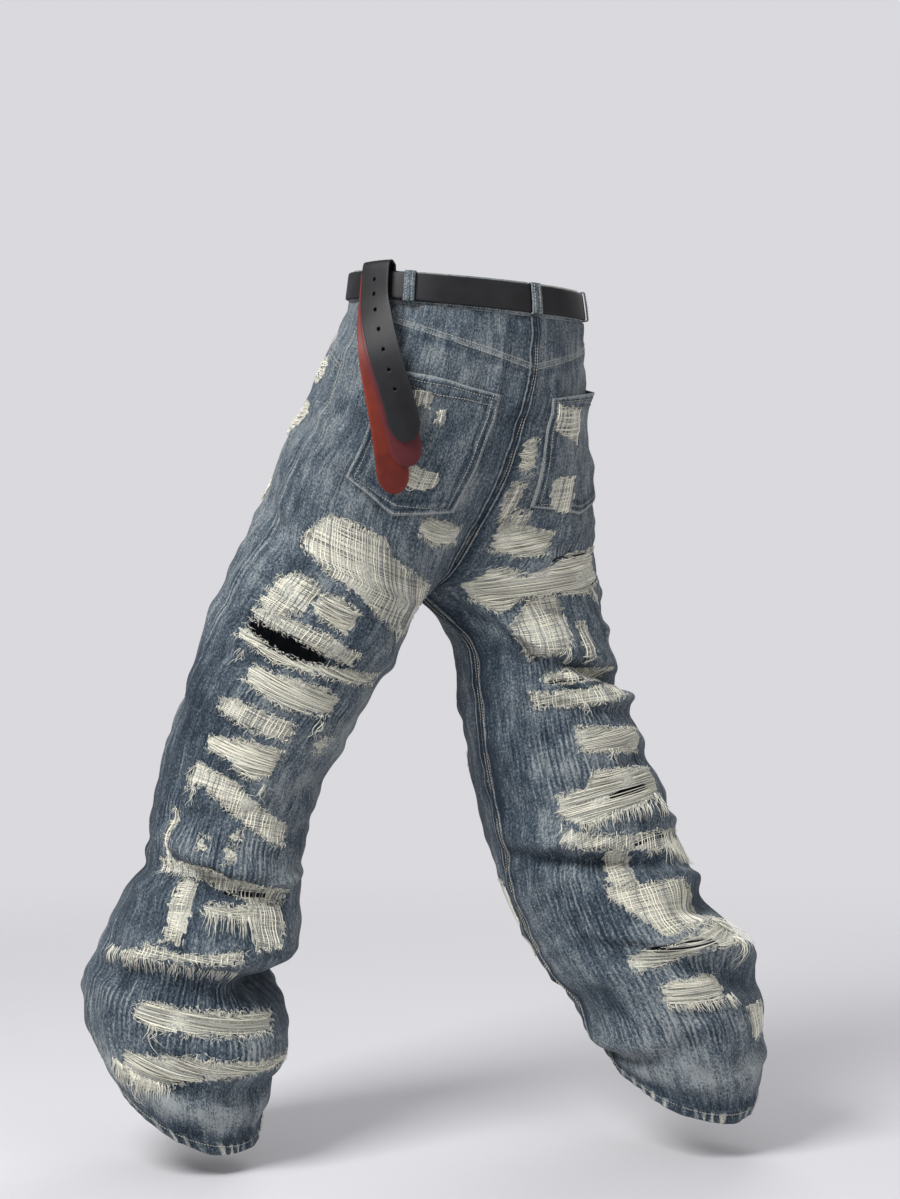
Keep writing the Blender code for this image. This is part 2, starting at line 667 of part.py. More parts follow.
def belt_loop(number, leg, share):
    """A strip that bridges the belt from the top of the waistband to its lower edge."""
    turn = (share + 1) / 4 if leg == "left" else (3 - share) / 4
    face = BAND_CLOTH - CLOTH + SEAM_GAP
    over = float(belt_out(turn)) + BELT_THICK + LOOP_OFF_BELT
    high, low = 0.0006, WAISTBAND - 0.0012
    thick = LOOP_CLOTH
    # Columns: station and distance out, for the outer line and the inner line of the strip
    outer = ((high, face), (high, over + thick), (low, over + thick), (low, face))
    inner = ((high + thick, face), (high + thick, over), (low - thick, over), (low - thick, face))
    half = LOOP_WIDE / 2 / WAIST_ROUND
    turns = np.array([turn - half, turn + half, turn + half, turn - half])
    sections = np.stack([
        round_waist(turns, np.array([s0, s0, s1, s1]), np.array([o0, o0, o1, o1]))
        for (s0, o0), (s1, o1) in zip(outer, inner)
    ])
    name = f"belt_loop_{number}"
    add_object(name, loft_mesh(name, sections, False), DENIM)


def route_points(route, count):
    keys = np.linspace(0, 1, len(route))
    table = [(key, *row) for key, row in zip(keys, route)]
    rows = along_table(table, np.linspace(0, 1, count))
    return rows[:, 0], rows[:, 1]


def belt_end(name, route, layer, hooked, colour):
    """A free end of the belt over the hip, with a round tip, layer by layer outwards."""
    stations, shares = route_points(route, TAIL_POINTS)
    common = np.interp(stations, *zip(*BURGUNDY_ROUTE))
    normal = outward("left", common, np.maximum(stations, 0.02))
    on_belt = float(belt_out(TAIL_TURN)) + BELT_THICK + STRAP_OFF_BELT + layer * TAIL_LAYER
    on_cloth = TAIL_CLEAR + layer * TAIL_FAN
    out = on_cloth + (on_belt - on_cloth) * (1 - smooth(0.030, 0.080, stations)) + TAIL_THICK / 2
    middle = cloth_point("left", shares, stations) + normal * out[:, None]
    if hooked:
        behind = BAND_CLOTH - CLOTH + STRAP_OFF_BELT + TAIL_THICK / 2
        # Columns: station, above the waistband where it is negative, and how far out
        bend = ((0.026, behind), (0.006, behind), (-0.004, behind + 0.0015), (-0.0085, out[0] / 2 + 0.002),
                (-0.005, out[0] - 0.002))
        root = [
            cloth_point("left", shares[0], max(station, 0.0)) + normal[0] * across
            + np.array([0, 0, max(-station, 0.0)])
            for station, across in bend
        ]
        middle = np.concatenate([root, middle])
        normal = np.concatenate([normal[:1]] * len(root) + [normal])
    add_strap(name, middle, normal, colour)


def add_strap(name, middle, normal, colour):
    """A flat strap along these points, level across, with its last end round."""
    along = np.gradient(middle, axis=0)
    along /= np.linalg.norm(along, axis=1, keepdims=True)
    steps = np.linalg.norm(np.diff(middle, axis=0), axis=1)
    run = np.concatenate([[0], np.cumsum(steps)])
    level = np.cross(np.array([0, 0, 1.0]), normal)
    across = level - (level * along).sum(1, keepdims=True) * along
    across /= np.linalg.norm(across, axis=1, keepdims=True)
    square = np.cross(across, along)
    left = np.clip((run[-1] - run) / (TAIL_WIDE / 2), 0.05, 1)
    half = TAIL_WIDE / 2 * np.sqrt(1 - (1 - left) ** 2)
    sections = np.stack([
        middle + across * (side * half)[:, None] + square * (face * TAIL_THICK / 2)
        for side, face in ((-1, -1), (1, -1), (1, 1), (-1, 1))
    ], axis=1)
    add_object(name, loft_mesh(name, sections, False), colour)


def facet_point(grid, share, station):
    """A point on the flat facets of a panel, below the rows that its top edge squeezes."""
    points, _, stations, shares = grid
    line = stations[:, stations.shape[1] // 2]
    row = int(np.clip(np.searchsorted(line, station) - 1, 0, len(line) - 2))
    ends = []
    for edge in (row, row + 1):
        column = int(np.clip(np.searchsorted(shares[edge], share) - 1, 0, shares.shape[1] - 2))
        before, after = shares[edge, column], shares[edge, column + 1]
        t = (share - before) / (after - before)
        ends.append(points[edge, column] * (1 - t) + points[edge, column + 1] * t)
    down = (station - line[row]) / (line[row + 1] - line[row])
    return ends[0] * (1 - down) + ends[1] * down


def fringe(name, leg, station, start, end, strands, length, off, seed):
    """A narrow strip of cloth over a rip's edge, with loose threads hanging from it."""
    chance = np.random.default_rng(seed)
    grid = panel_grid(leg, "back")
    cells = 2 * strands + 1
    shares = np.linspace(start, end, cells + 1)
    normals = outward(leg, shares, np.full(cells + 1, station))
    points, faces = [], []
    for lift in (off + FRINGE_CLOTH, off):
        for edge in (station - FRINGE_STRIP, station):
            line = np.array([facet_point(grid, share, edge) for share in shares])
            points += list(line + normals * lift)
    row = cells + 1
    outer_top, outer_low, inner_top, inner_low = 0, row, 2 * row, 3 * row
    for cell in range(cells):
        faces.append((outer_top + cell, outer_top + cell + 1, outer_low + cell + 1, outer_low + cell))
        faces.append((inner_low + cell, inner_low + cell + 1, inner_top + cell + 1, inner_top + cell))
        faces.append((inner_top + cell, inner_top + cell + 1, outer_top + cell + 1, outer_top + cell))
        ring = [outer_low + cell, outer_low + cell + 1, inner_low + cell + 1, inner_low + cell]
        if cell % 2:
            reach = length * chance.uniform(0.6, 1.0)
            drift = chance.uniform(-0.012, 0.012)
            lean = chance.uniform(0.001, 0.004)
            middle = (shares[cell] + shares[cell + 1]) / 2
            root = np.array([points[corner] for corner in ring])
            for part, width in ((0.45, 0.55), (1.0, 0.25)):
                place = (middle + drift * part, station + reach * part)
                clear = off + FRINGE_CLOTH / 2 + lean * part
                tip = facet_point(grid, *place) + outward(leg, *place) * clear
                following = [len(points) + corner for corner in range(4)]
                points += list(tip + (root - root.mean(axis=0)) * width)
                for corner in range(4):
                    after = (corner + 1) % 4
                    faces.append((ring[corner], ring[after], following[after], following[corner]))
                ring = following
        faces.append(tuple(ring))
    for side in (0, cells):
        faces.append((outer_top + side, outer_low + side, inner_low + side, inner_top + side))
    mesh = bpy.data.meshes.new(name)
    mesh.from_pydata([tuple(point) for point in points], [], faces)
    mesh.validate()
    add_object(name, mesh, THREAD)


def finish_primitive(obj, name, colour):
    obj.name = name
    move_to(obj, PARTS)
    obj.parent = HOLDER
    paint(obj.data, name, colour)


def move_to(obj, collection):
    for owner in list(obj.users_collection):
        owner.objects.unlink(obj)
    collection.objects.link(obj)


def centre_front(out):
    """A place on the Y axis at the middle of the belt's height, this far off the cloth."""
    place = round_waist(0.0, (BELT_TOP + BELT_BOTTOM) / 2, out)
    return (0.0, float(place[1]), float(place[2]))


def block(place, wide, deep, high):
    bpy.ops.mesh.primitive_cube_add(size=1, location=place)
    obj = bpy.context.object
    obj.data.transform(Matrix.Diagonal((wide, deep, high, 1)))
    return obj


def buckle():
    """A plain frame in front of the belt at the centre front, and the prong across it."""
    face = float(belt_out(0.0)) + BELT_THICK + SEAM_GAP
    place = centre_front(face + FRAME_BAR / 2)
    frame = block(place, FRAME_WIDE, FRAME_BAR, FRAME_HIGH)
    hole = block(place, FRAME_WIDE - 2 * FRAME_RIM, 4 * FRAME_BAR, FRAME_HIGH - 2 * FRAME_RIM)
    hole.name = "buckle_hole"
    move_to(hole, CUTTERS)
    hole.hide_render = True
    hole.display_type = "WIRE"
    cut = frame.modifiers.new("hole", "BOOLEAN")
    cut.object = hole
    cut.operation = "DIFFERENCE"
    edges = frame.modifiers.new("edges", "BEVEL")
    edges.width = 0.0010
    edges.segments = 2
    finish_primitive(frame, "buckle_frame", METAL)
    bpy.ops.mesh.primitive_cylinder_add(
        vertices=12, radius=PRONG_THICK / 2, depth=FRAME_WIDE - FRAME_RIM,
        location=centre_front(face + FRAME_BAR + SEAM_GAP + PRONG_THICK / 2), rotation=(0, math.pi / 2, 0))
    finish_primitive(bpy.context.object, "buckle_prong", METAL)


def waist_button():
    place = centre_front(BAND_CLOTH - CLOTH + BUTTON_OFF + BUTTON_HIGH / 2)
    bpy.ops.mesh.primitive_cylinder_add(
        vertices=24, radius=BUTTON_RADIUS, depth=BUTTON_HIGH, location=place, rotation=(math.pi / 2, 0, 0))
    button = bpy.context.object
    edges = button.modifiers.new("edges", "BEVEL")
    edges.width = 0.0008
    edges.segments = 1
    edges.limit_method = "ANGLE"
    finish_primitive(button, "waist_button", METAL)


def collection_named(name):
    made = bpy.data.collections.new(name)
    bpy.context.scene.collection.children.link(made)
    return made


clear_scene()
PARTS = collection_named(OBJECT_NAME)
CUTTERS = collection_named("cutters")
HOLDER = bpy.data.objects.new("held_at_the_waist", None)
PARTS.objects.link(HOLDER)

for leg_name in ("left", "right"):
    leg_panel(leg_name, "back")
    leg_panel(leg_name, "front")
    yoke(leg_name)
    pocket_facing(leg_name)
    back_pocket(leg_name)
waistband()
belt_strap()
for number, (leg_name, place) in enumerate(LOOPS, 1):
    belt_loop(number, leg_name, place)
belt_end("tail_red", RED_ROUTE, 0, False, RED_LEATHER)
belt_end("tail_burgundy", BURGUNDY_ROUTE, 1, False, BURGUNDY_LEATHER)
belt_end("tail_black", BLACK_ROUTE, 2, True, BLACK_LEATHER)
buckle()
waist_button()
for seed, row in enumerate(FRINGES):
    fringe(*row, seed)
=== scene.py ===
# %% [markdown]
# Ripped wide-leg jeans, with their own belt, hollow and in the stride they are worn in.
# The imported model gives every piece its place. This lesson dresses it: thin denim shells
# with their creases, the torn places with their loose threads, the sewing and the leather.

# %% Load the frame
import math

import bpy
import numpy as np
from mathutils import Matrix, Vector


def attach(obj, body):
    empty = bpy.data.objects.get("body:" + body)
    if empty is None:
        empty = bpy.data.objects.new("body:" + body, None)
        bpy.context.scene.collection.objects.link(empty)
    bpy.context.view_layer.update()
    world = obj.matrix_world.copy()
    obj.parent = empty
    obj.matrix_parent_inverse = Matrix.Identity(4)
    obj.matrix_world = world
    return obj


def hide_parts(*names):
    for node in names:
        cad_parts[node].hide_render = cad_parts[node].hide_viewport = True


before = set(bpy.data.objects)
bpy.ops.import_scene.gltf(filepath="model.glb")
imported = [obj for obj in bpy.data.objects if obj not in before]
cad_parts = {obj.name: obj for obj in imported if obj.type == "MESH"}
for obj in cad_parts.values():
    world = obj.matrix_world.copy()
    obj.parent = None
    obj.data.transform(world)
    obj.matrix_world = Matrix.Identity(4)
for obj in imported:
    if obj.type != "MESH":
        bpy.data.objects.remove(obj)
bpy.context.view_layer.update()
scene = bpy.context.scene
scene.view_settings.view_transform = "Standard"

# %% [markdown]
# A camera is placed first, because it decides how large each detail has to be. The photo
# was taken level, from behind the left hip, with a long lens, so a lens of about 63 mm
# stands 2.6 m away at the height of the thighs.

# %% Camera
CAMERA_TURN = math.radians(140)
CAMERA_AWAY = 2.583
CAMERA_SIDE = -0.0209
CAMERA_HEIGHT = -0.390
CAMERA_LENS = 63.05
LOOK = Vector((-math.sin(CAMERA_TURN), math.cos(CAMERA_TURN), 0))
RIGHT_OF_VIEW = Vector((math.cos(CAMERA_TURN), math.sin(CAMERA_TURN), 0))

camera_data = bpy.data.cameras.new("camera")
camera_data.lens = CAMERA_LENS
camera_data.sensor_width = 36
camera = bpy.data.objects.new("camera", camera_data)
scene.collection.objects.link(camera)
camera.location = RIGHT_OF_VIEW * CAMERA_SIDE - LOOK * CAMERA_AWAY
camera.location.z = CAMERA_HEIGHT
camera.rotation_euler = LOOK.to_track_quat("-Z", "Y").to_euler()
scene.camera = camera
print("camera at", [round(value, 3) for value in camera.location])

# %% [markdown]
# Helpers for operators. An operator acts on what is selected, so everything is let go
# first, and only the piece in hand is picked.


# %% Selection and modifiers
def pick(obj):
    if bpy.context.mode != "OBJECT":
        bpy.ops.object.mode_set(mode="OBJECT")
    for other in list(bpy.context.selected_objects):
        other.select_set(False)
    obj.select_set(True)
    bpy.context.view_layer.objects.active = obj


def apply_modifier(obj, kind, **settings):
    pick(obj)
    modifier = obj.modifiers.new(kind.lower(), kind)
    for name, value in settings.items():
        setattr(modifier, name, value)
    bpy.ops.object.modifier_apply(modifier=modifier.name)


def delete_faces(obj, chosen):
    """Deletes the faces whose numbers are chosen, as by hand in edit mode."""
    pick(obj)
    bpy.ops.object.mode_set(mode="EDIT")
    bpy.ops.mesh.select_mode(type="FACE")
    bpy.ops.mesh.select_all(action="DESELECT")
    bpy.ops.object.mode_set(mode="OBJECT")
    flags = np.zeros(len(obj.data.polygons), bool)
    flags[chosen] = True
    obj.data.polygons.foreach_set("select", flags)
    bpy.ops.object.mode_set(mode="EDIT")
    bpy.ops.mesh.delete(type="FACE")
    bpy.ops.object.mode_set(mode="OBJECT")


def finish_piece(obj, name, material, replaced=()):
    obj.name = name
    obj.data.name = name
    if material is not None:
        obj.data.materials.clear()
        obj.data.materials.append(material)
    pick(obj)
    bpy.ops.object.shade_smooth()
    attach(obj, "root")
    if replaced:
        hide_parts(*replaced)
    print(name, len(obj.data.polygons), "faces")
    return obj


# %% [markdown]
# The jeans are worked out on paper the way a pattern cutter thinks of them: how far down
# the leg (the station, in metres) and how far round from the side seam (the share, 1 at
# the inseam round the back and -1 round the front). The same tables make the solids.

# %% Stations of the cut
CLOTH = 0.0020
WAISTBAND = 0.040
YOKE_AT_SIDE = 0.055
YOKE_AT_CENTRE = 0.105
POCKET_MOUTH_SIDE = 0.130
POCKET_MOUTH_SHARE = 0.60
POCKET_MOUTH_END = 0.0020
CROTCH = 0.370
HEM = 1.070
HEM_HEIGHT = 0.016
SEAM_GAP = 0.0003
SEAM_SHARE = 0.0006
CENTRE_GAP = 0.00015
SEAM_STIFFNESS = 0.45
CENTRE_LEAN = 0.022
LEAN_FROM = 0.090
LEAN_FULL = 0.200
TWIST_GROWS = 0.12
JOINED_FADES = 0.10
STIFF_GROWS = 0.06
SHARE_STEP = 0.02
STATION_STEP = 0.004
AXIS_STEP = 0.010
PANEL_WIDTH = 0.33

# Columns: station, x, y, z of the centre, half width, half depth, roll and pitch of the
# ring as rise per metre, and how far the cloth is turned round the leg in degrees
SECTIONS = {
    "left": (
        (0.000, 0.000, 0.000, 0.000, 0.150, 0.118, 0.00, -0.12, 0),
        (0.040, 0.000, 0.000, -0.040, 0.156, 0.122, 0.01, -0.12, 0),
        (0.115, 0.006, -0.012, -0.112, 0.172, 0.132, 0.08, -0.16, 0),
        (0.200, 0.034, -0.044, -0.195, 0.150, 0.138, 0.20, -0.22, 0),
        (0.285, 0.076, -0.092, -0.275, 0.124, 0.118, 0.32, -0.26, 0),
        (0.370, 0.118, -0.124, -0.350, 0.096, 0.104, 0.40, -0.30, 0),
        (0.430, 0.140, -0.132, -0.405, 0.100, 0.102, 0.40, -0.33, -5),
        (0.530, 0.180, -0.153, -0.500, 0.097, 0.096, 0.36, -0.33, -15),
        (0.630, 0.208, -0.180, -0.595, 0.094, 0.096, 0.26, -0.24, -20),
        (0.720, 0.227, -0.190, -0.680, 0.094, 0.097, 0.16, -0.05, -20),
        (0.800, 0.249, -0.190, -0.755, 0.106, 0.110, 0.14, 0.02, -15),
        (0.870, 0.274, -0.188, -0.820, 0.115, 0.116, 0.14, -0.05, -10),
        (0.940, 0.293, -0.187, -0.880, 0.118, 0.120, 0.14, -0.20, -10),
        (1.010, 0.300, -0.180, -0.938, 0.107, 0.110, 0.14, -0.45, -10),
        (1.070, 0.298, -0.172, -0.976, 0.087, 0.092, 0.10, -0.68, -10),
    ),
    "right": (
        (0.000, 0.000, 0.000, 0.000, 0.150, 0.118, 0.00, -0.12, 0),
        (0.040, 0.000, 0.000, -0.040, 0.156, 0.122, -0.01, -0.12, 0),
        (0.115, -0.003, -0.010, -0.112, 0.164, 0.132, -0.02, -0.12, 0),
        (0.200, -0.024, -0.016, -0.195, 0.140, 0.139, -0.05, -0.10, 0),
        (0.285, -0.066, -0.024, -0.275, 0.119, 0.130, -0.10, -0.06, 0),
        (0.370, -0.084, -0.022, -0.350, 0.106, 0.117, -0.14, 0.00, 0),
        (0.430, -0.109, -0.018, -0.410, 0.093, 0.103, -0.14, 0.04, 0),
        (0.520, -0.127, -0.013, -0.500, 0.097, 0.103, -0.14, 0.10, 0),
        (0.600, -0.143, 0.000, -0.580, 0.104, 0.110, -0.14, 0.22, 5),
        (0.680, -0.158, 0.024, -0.660, 0.108, 0.114, -0.14, 0.30, 10),
        (0.760, -0.171, 0.046, -0.735, 0.108, 0.114, -0.12, 0.28, 20),
        (0.830, -0.185, 0.080, -0.795, 0.113, 0.120, -0.10, 0.20, 25),
        (0.900, -0.202, 0.118, -0.850, 0.123, 0.129, -0.08, 0.05, 25),
        (0.970, -0.209, 0.142, -0.905, 0.112, 0.120, -0.06, -0.15, 20),
        (1.030, -0.211, 0.154, -0.945, 0.099, 0.107, -0.04, -0.36, 15),
        (1.070, -0.210, 0.158, -0.968, 0.088, 0.096, -0.02, -0.52, 10),
    ),
}

# %% [markdown]
# Worn cloth stacks up above the hems and twists behind the knees. Each fold is a soft
# ridge or trough, given one by one: where it lies, how far it reaches round the leg, how deep.

# %% Folds and creases
# Columns: station, angle round the leg and its reach in degrees, half height, depth
# outwards, slope along the station for each 90 degrees, and how far the cloth sags
FOLDS = {
    "left": (
        (0.330, -10, 60, 0.030, -0.008, 0.10, 0.000),
        (0.300, -100, 55, 0.026, -0.009, 0.12, 0.000),
        (0.452, 48, 60, 0.016, 0.007, 0.00, 0.004),
        (0.488, 48, 60, 0.014, 0.006, 0.00, 0.000),
        (0.470, 48, 55, 0.012, -0.014, 0.00, 0.000),
        (0.560, -60, 60, 0.030, -0.009, 0.06, 0.000),
        (0.620, 120, 60, 0.024, -0.007, -0.05, 0.000),
        (0.660, -100, 70, 0.022, -0.012, 0.04, 0.000),
        (0.740, 60, 85, 0.022, 0.012, 0.03, 0.012),
        (0.778, 60, 90, 0.016, -0.020, 0.03, 0.000),
        (0.765, -40, 70, 0.020, -0.016, 0.00, 0.000),
        (0.840, 90, 100, 0.024, 0.018, -0.02, 0.018),
        (0.885, 118, 95, 0.017, -0.040, -0.01, 0.000),
        (0.890, 20, 50, 0.014, -0.010, -0.01, 0.000),
        (0.870, -110, 70, 0.020, -0.018, 0.04, 0.006),
        (0.955, 115, 85, 0.026, 0.016, 0.00, 0.008),
        (0.990, 95, 85, 0.012, -0.012, -0.01, 0.000),
        (0.985, -95, 60, 0.018, -0.014, 0.03, 0.000),
    ),
    "right": (
        (0.300, -80, 55, 0.026, -0.009, 0.12, 0.000),
        (0.480, 85, 85, 0.026, 0.012, -0.06, 0.012),
        (0.512, 72, 85, 0.015, -0.030, -0.06, 0.000),
        (0.545, 52, 62, 0.018, 0.016, 0.00, 0.006),
        (0.590, -90, 70, 0.026, -0.012, 0.04, 0.000),
        (0.640, 70, 60, 0.020, -0.008, 0.00, 0.000),
        (0.705, 150, 60, 0.020, 0.014, -0.06, 0.010),
        (0.740, 140, 70, 0.014, -0.018, -0.06, 0.000),
        (0.700, -70, 60, 0.020, -0.014, 0.04, 0.004),
        (0.822, 66, 50, 0.016, -0.024, 0.00, 0.000),
        (0.861, 92, 66, 0.014, 0.024, -0.05, 0.014),
        (0.892, 95, 70, 0.014, -0.014, -0.05, 0.000),
        (0.860, -80, 60, 0.020, -0.016, 0.03, 0.000),
        (0.930, 190, 55, 0.028, -0.014, 0.02, 0.000),
        (0.985, 180, 60, 0.018, 0.014, 0.05, 0.006),
        (1.015, 180, 60, 0.012, -0.010, 0.05, 0.000),
    ),
}

# Small creases that only the shells have. Columns: station, angle, reach, half height,
# depth and slope. The depths are those of thin cloth, and this much deeper in heavy denim
CREASE_DEPTH = 1.7
CREASES = {
    "left": (
        (0.886, 142, 58, 0.013, -0.0115, -0.01),
        (0.205, 140, 40, 0.010, -0.0030, 0.24),
        (0.275, 150, 40, 0.009, -0.0035, 0.26),
        (0.150, 60, 50, 0.012, 0.0025, 0.10),
        (0.235, 20, 60, 0.014, 0.0030, 0.12),
        (0.318, 75, 60, 0.011, -0.0030, 0.16),
        (0.345, 20, 50, 0.010, 0.0025, 0.10),
        (0.412, 60, 60, 0.010, -0.0030, 0.06),
        (0.440, 130, 45, 0.010, 0.0030, 0.05),
        (0.505, 30, 60, 0.010, -0.0030, -0.05),
        (0.540, 100, 60, 0.012, 0.0030, 0.05),
        (0.585, 40, 50, 0.009, -0.0030, 0.04),
        (0.640, 80, 60, 0.010, 0.0030, 0.06),
        (0.695, 30, 60, 0.009, -0.0030, -0.04),
        (0.718, 95, 60, 0.009, 0.0030, 0.03),
        (0.752, 30, 50, 0.007, -0.0035, 0.06),
        (0.762, 110, 50, 0.007, 0.0040, -0.04),
        (0.800, 20, 60, 0.008, 0.0035, 0.05),
        (0.818, 100, 60, 0.008, -0.0030, 0.03),
        (0.862, 40, 60, 0.008, 0.0035, -0.03),
        (0.915, 40, 60, 0.010, -0.0030, 0.04),
        (0.935, 120, 50, 0.008, 0.0030, -0.02),
        (0.968, 60, 60, 0.008, -0.0030, 0.03),
        (1.020, 40, 60, 0.010, 0.0030, 0.02),
        (1.036, 120, 60, 0.008, -0.0025, 0.02),
        (0.200, -60, 60, 0.014, 0.0030, 0.10),
        (0.400, -90, 70, 0.012, -0.0030, 0.08),
        (0.470, -50, 60, 0.012, 0.0030, 0.06),
        (0.530, -110, 60, 0.012, 0.0030, 0.05),
        (0.605, -70, 60, 0.010, -0.0030, 0.05),
        (0.700, -90, 70, 0.010, 0.0035, 0.04),
        (0.732, -40, 50, 0.009, -0.0030, 0.03),
        (0.800, -80, 70, 0.010, -0.0035, 0.05),
        (0.832, -120, 60, 0.010, 0.0030, 0.03),
        (0.920, -80, 60, 0.010, 0.0030, 0.03),
        (0.952, -60, 60, 0.009, -0.0030, 0.02),
        (1.020, -100, 60, 0.010, -0.0030, 0.02),
    ),
    "right": (
        (0.456, 128, 52, 0.014, 0.0050, -0.20),
        (0.484, 128, 52, 0.010, -0.0060, -0.20),
        (0.175, 150, 40, 0.010, -0.0030, -0.22),
        (0.260, 140, 45, 0.010, -0.0035, -0.26),
        (0.160, 80, 50, 0.012, 0.0025, -0.08),
        (0.240, 30, 60, 0.014, 0.0030, -0.10),
        (0.310, 110, 60, 0.011, -0.0030, -0.14),
        (0.395, 60, 60, 0.010, 0.0030, -0.08),
        (0.425, 110, 60, 0.010, -0.0030, -0.10),
        (0.455, 60, 50, 0.009, 0.0030, -0.06),
        (0.530, 120, 50, 0.009, 0.0030, -0.06),
        (0.568, 80, 60, 0.009, -0.0030, -0.03),
        (0.612, 60, 60, 0.010, 0.0030, -0.04),
        (0.668, 100, 60, 0.010, -0.0030, -0.05),
        (0.720, 60, 60, 0.009, 0.0035, -0.04),
        (0.762, 100, 60, 0.008, -0.0035, -0.05),
        (0.790, 60, 60, 0.008, 0.0040, -0.03),
        (0.845, 150, 50, 0.009, -0.0035, -0.04),
        (0.915, 70, 60, 0.010, -0.0030, -0.02),
        (0.945, 120, 60, 0.010, 0.0030, -0.03),
        (0.975, 60, 60, 0.009, -0.0030, 0.02),
        (1.010, 90, 60, 0.010, 0.0030, 0.03),
        (1.038, 140, 60, 0.008, -0.0025, 0.03),
        (0.200, -70, 60, 0.014, 0.0030, 0.08),
        (0.390, -90, 70, 0.012, -0.0030, 0.06),
        (0.460, -60, 60, 0.012, 0.0030, 0.05),
        (0.540, -110, 60, 0.012, 0.0030, 0.04),
        (0.640, -70, 60, 0.010, -0.0030, 0.04),
        (0.740, -90, 70, 0.010, 0.0035, 0.03),
        (0.800, -60, 60, 0.009, -0.0035, 0.04),
        (0.830, -110, 60, 0.010, 0.0030, 0.03),
        (0.915, -80, 60, 0.010, 0.0030, 0.03),
        (0.960, -110, 60, 0.009, -0.0030, 0.02),
        (1.020, -80, 60, 0.010, -0.0025, 0.02),
    ),
}
print("folds", sum(len(rows) for rows in FOLDS.values()), "and creases",
      sum(len(rows) for rows in CREASES.values()))

# %% [markdown]
# The surface itself: an elliptic ring at every station, turned and tilted along the leg,
# with the folds added. Above the crotch both halves are drawn to the centre seam.


# %% The surface of the cloth
def smooth(start, end, value):
    """0 up to start, 1 from end on, and an even rise between them."""
    share = np.clip((value - start) / (end - start), 0.0, 1.0)
    return share * share * (3.0 - 2.0 * share)


def along_table(rows, station):
    """Each column of a table at these stations, by a smooth curve through its rows."""
    table = np.array(rows, float)
    keys, values = table[:, 0], table[:, 1:]
    step = np.diff(keys)[:, None]
    rise = np.diff(values, axis=0) / step
    slope = np.zeros_like(values)
    slope[1:-1] = (rise[:-1] * step[1:] + rise[1:] * step[:-1]) / (step[1:] + step[:-1])
    slope[0] = rise[0]
    slope[-1] = rise[-1]
    station = np.clip(station, keys[0], keys[-1])
    low = np.clip(np.searchsorted(keys, station, side="right") - 1, 0, len(keys) - 2)
    gap = (keys[low + 1] - keys[low])[..., None]
    t = (station - keys[low])[..., None] / gap
    return (
        (2 * t**3 - 3 * t**2 + 1) * values[low]
        + (t**3 - 2 * t**2 + t) * gap * slope[low]
        + (3 * t**2 - 2 * t**3) * values[low + 1]
        + (t**3 - t**2) * gap * slope[low + 1]
    )


def other_leg(leg):
    return "right" if leg == "left" else "left"


def centre_seam(station):
    return CENTRE_LEAN * smooth(LEAN_FROM, LEAN_FULL, station)


def ring_point(leg, share, station):
    """A point on the plain ring of a leg, with its angle round the leg."""
    side = 1 if leg == "left" else -1
    ring = np.moveaxis(along_table(SECTIONS[leg], station), -1, 0)
    x, y, z, wide, deep, roll, pitch, twist = ring
    to_seam = np.clip(side * (x - centre_seam(station)) / wide, -1, 1)
    reach = np.where(station < CROTCH, np.arccos(-to_seam), math.pi)
    below = smooth(CROTCH, CROTCH + TWIST_GROWS, station)
    angle = share * reach + np.radians(twist) * (1 - share**2 * (1 - below))
    across = side * wide * np.cos(angle)
    back = deep * np.sin(angle)
    return np.stack([x + across, y + back, z + roll * across + pitch * back], -1), angle


def fold_strength(row, station, angle):
    middle, turn, reach, half, _, slope = row[:6]
    away = (np.degrees(angle) - turn + 180) % 360 - 180
    crossing = (station - middle - slope * away / 90) / half
    return np.exp(-(crossing**2)) * np.clip(1 - (away / reach) ** 2, 0, 1) ** 2


def fold_shift(leg, share, station, angle, fine):
    """How far the folds move the cloth out of the plain ring and down the leg."""
    side = 1 if leg == "left" else -1
    table = SECTIONS[leg]
    axis = (along_table(table, station + AXIS_STEP) - along_table(table, station - AXIS_STEP))[..., :3]
    axis /= np.linalg.norm(axis, axis=-1, keepdims=True)
    out = np.stack([side * np.cos(angle), np.sin(angle), 0 * angle], -1)
    out -= (out * axis).sum(-1, keepdims=True) * axis
    out /= np.linalg.norm(out, axis=-1, keepdims=True)
    lift = np.zeros_like(station)
    sag = np.zeros_like(station)
    for row in FOLDS[leg]:
        strength = fold_strength(row, station, angle)
        lift += row[4] * strength
        sag += row[6] * strength
    if fine:
        for row in CREASES[leg]:
            lift += CREASE_DEPTH * row[4] * fold_strength(row, station, angle)
    stiff = 1 - (1 - SEAM_STIFFNESS) * smooth(CROTCH, CROTCH + STIFF_GROWS, station)
    flat_seam = 1 - stiff * np.abs(share) ** 6
    return (out * lift[..., None] + axis * sag[..., None]) * flat_seam[..., None]


def cloth_point(leg, share, station, fine=True):
    """A point on the outer face of the cloth. In the rise both halves meet at the centre."""
    share, station = np.broadcast_arrays(np.asarray(share, float), np.asarray(station, float))
    point, angle = ring_point(leg, share, station)
    edge = np.where(share < 0, -1.0, 1.0)
    rise = np.minimum(station, CROTCH)
    own = ring_point(leg, edge, rise)[0]
    pull = (ring_point(other_leg(leg), edge, rise)[0] - own) / 2
    pull[..., 0] = centre_seam(rise) - own[..., 0]
    fade = 1 - smooth(CROTCH, CROTCH + JOINED_FADES, station)
    point = point + pull * (np.abs(share) ** 4 * fade)[..., None]
    point = point + fold_shift(leg, share, station, angle, fine)
    point[..., 0] += CENTRE_GAP if leg == "left" else -CENTRE_GAP
    return point


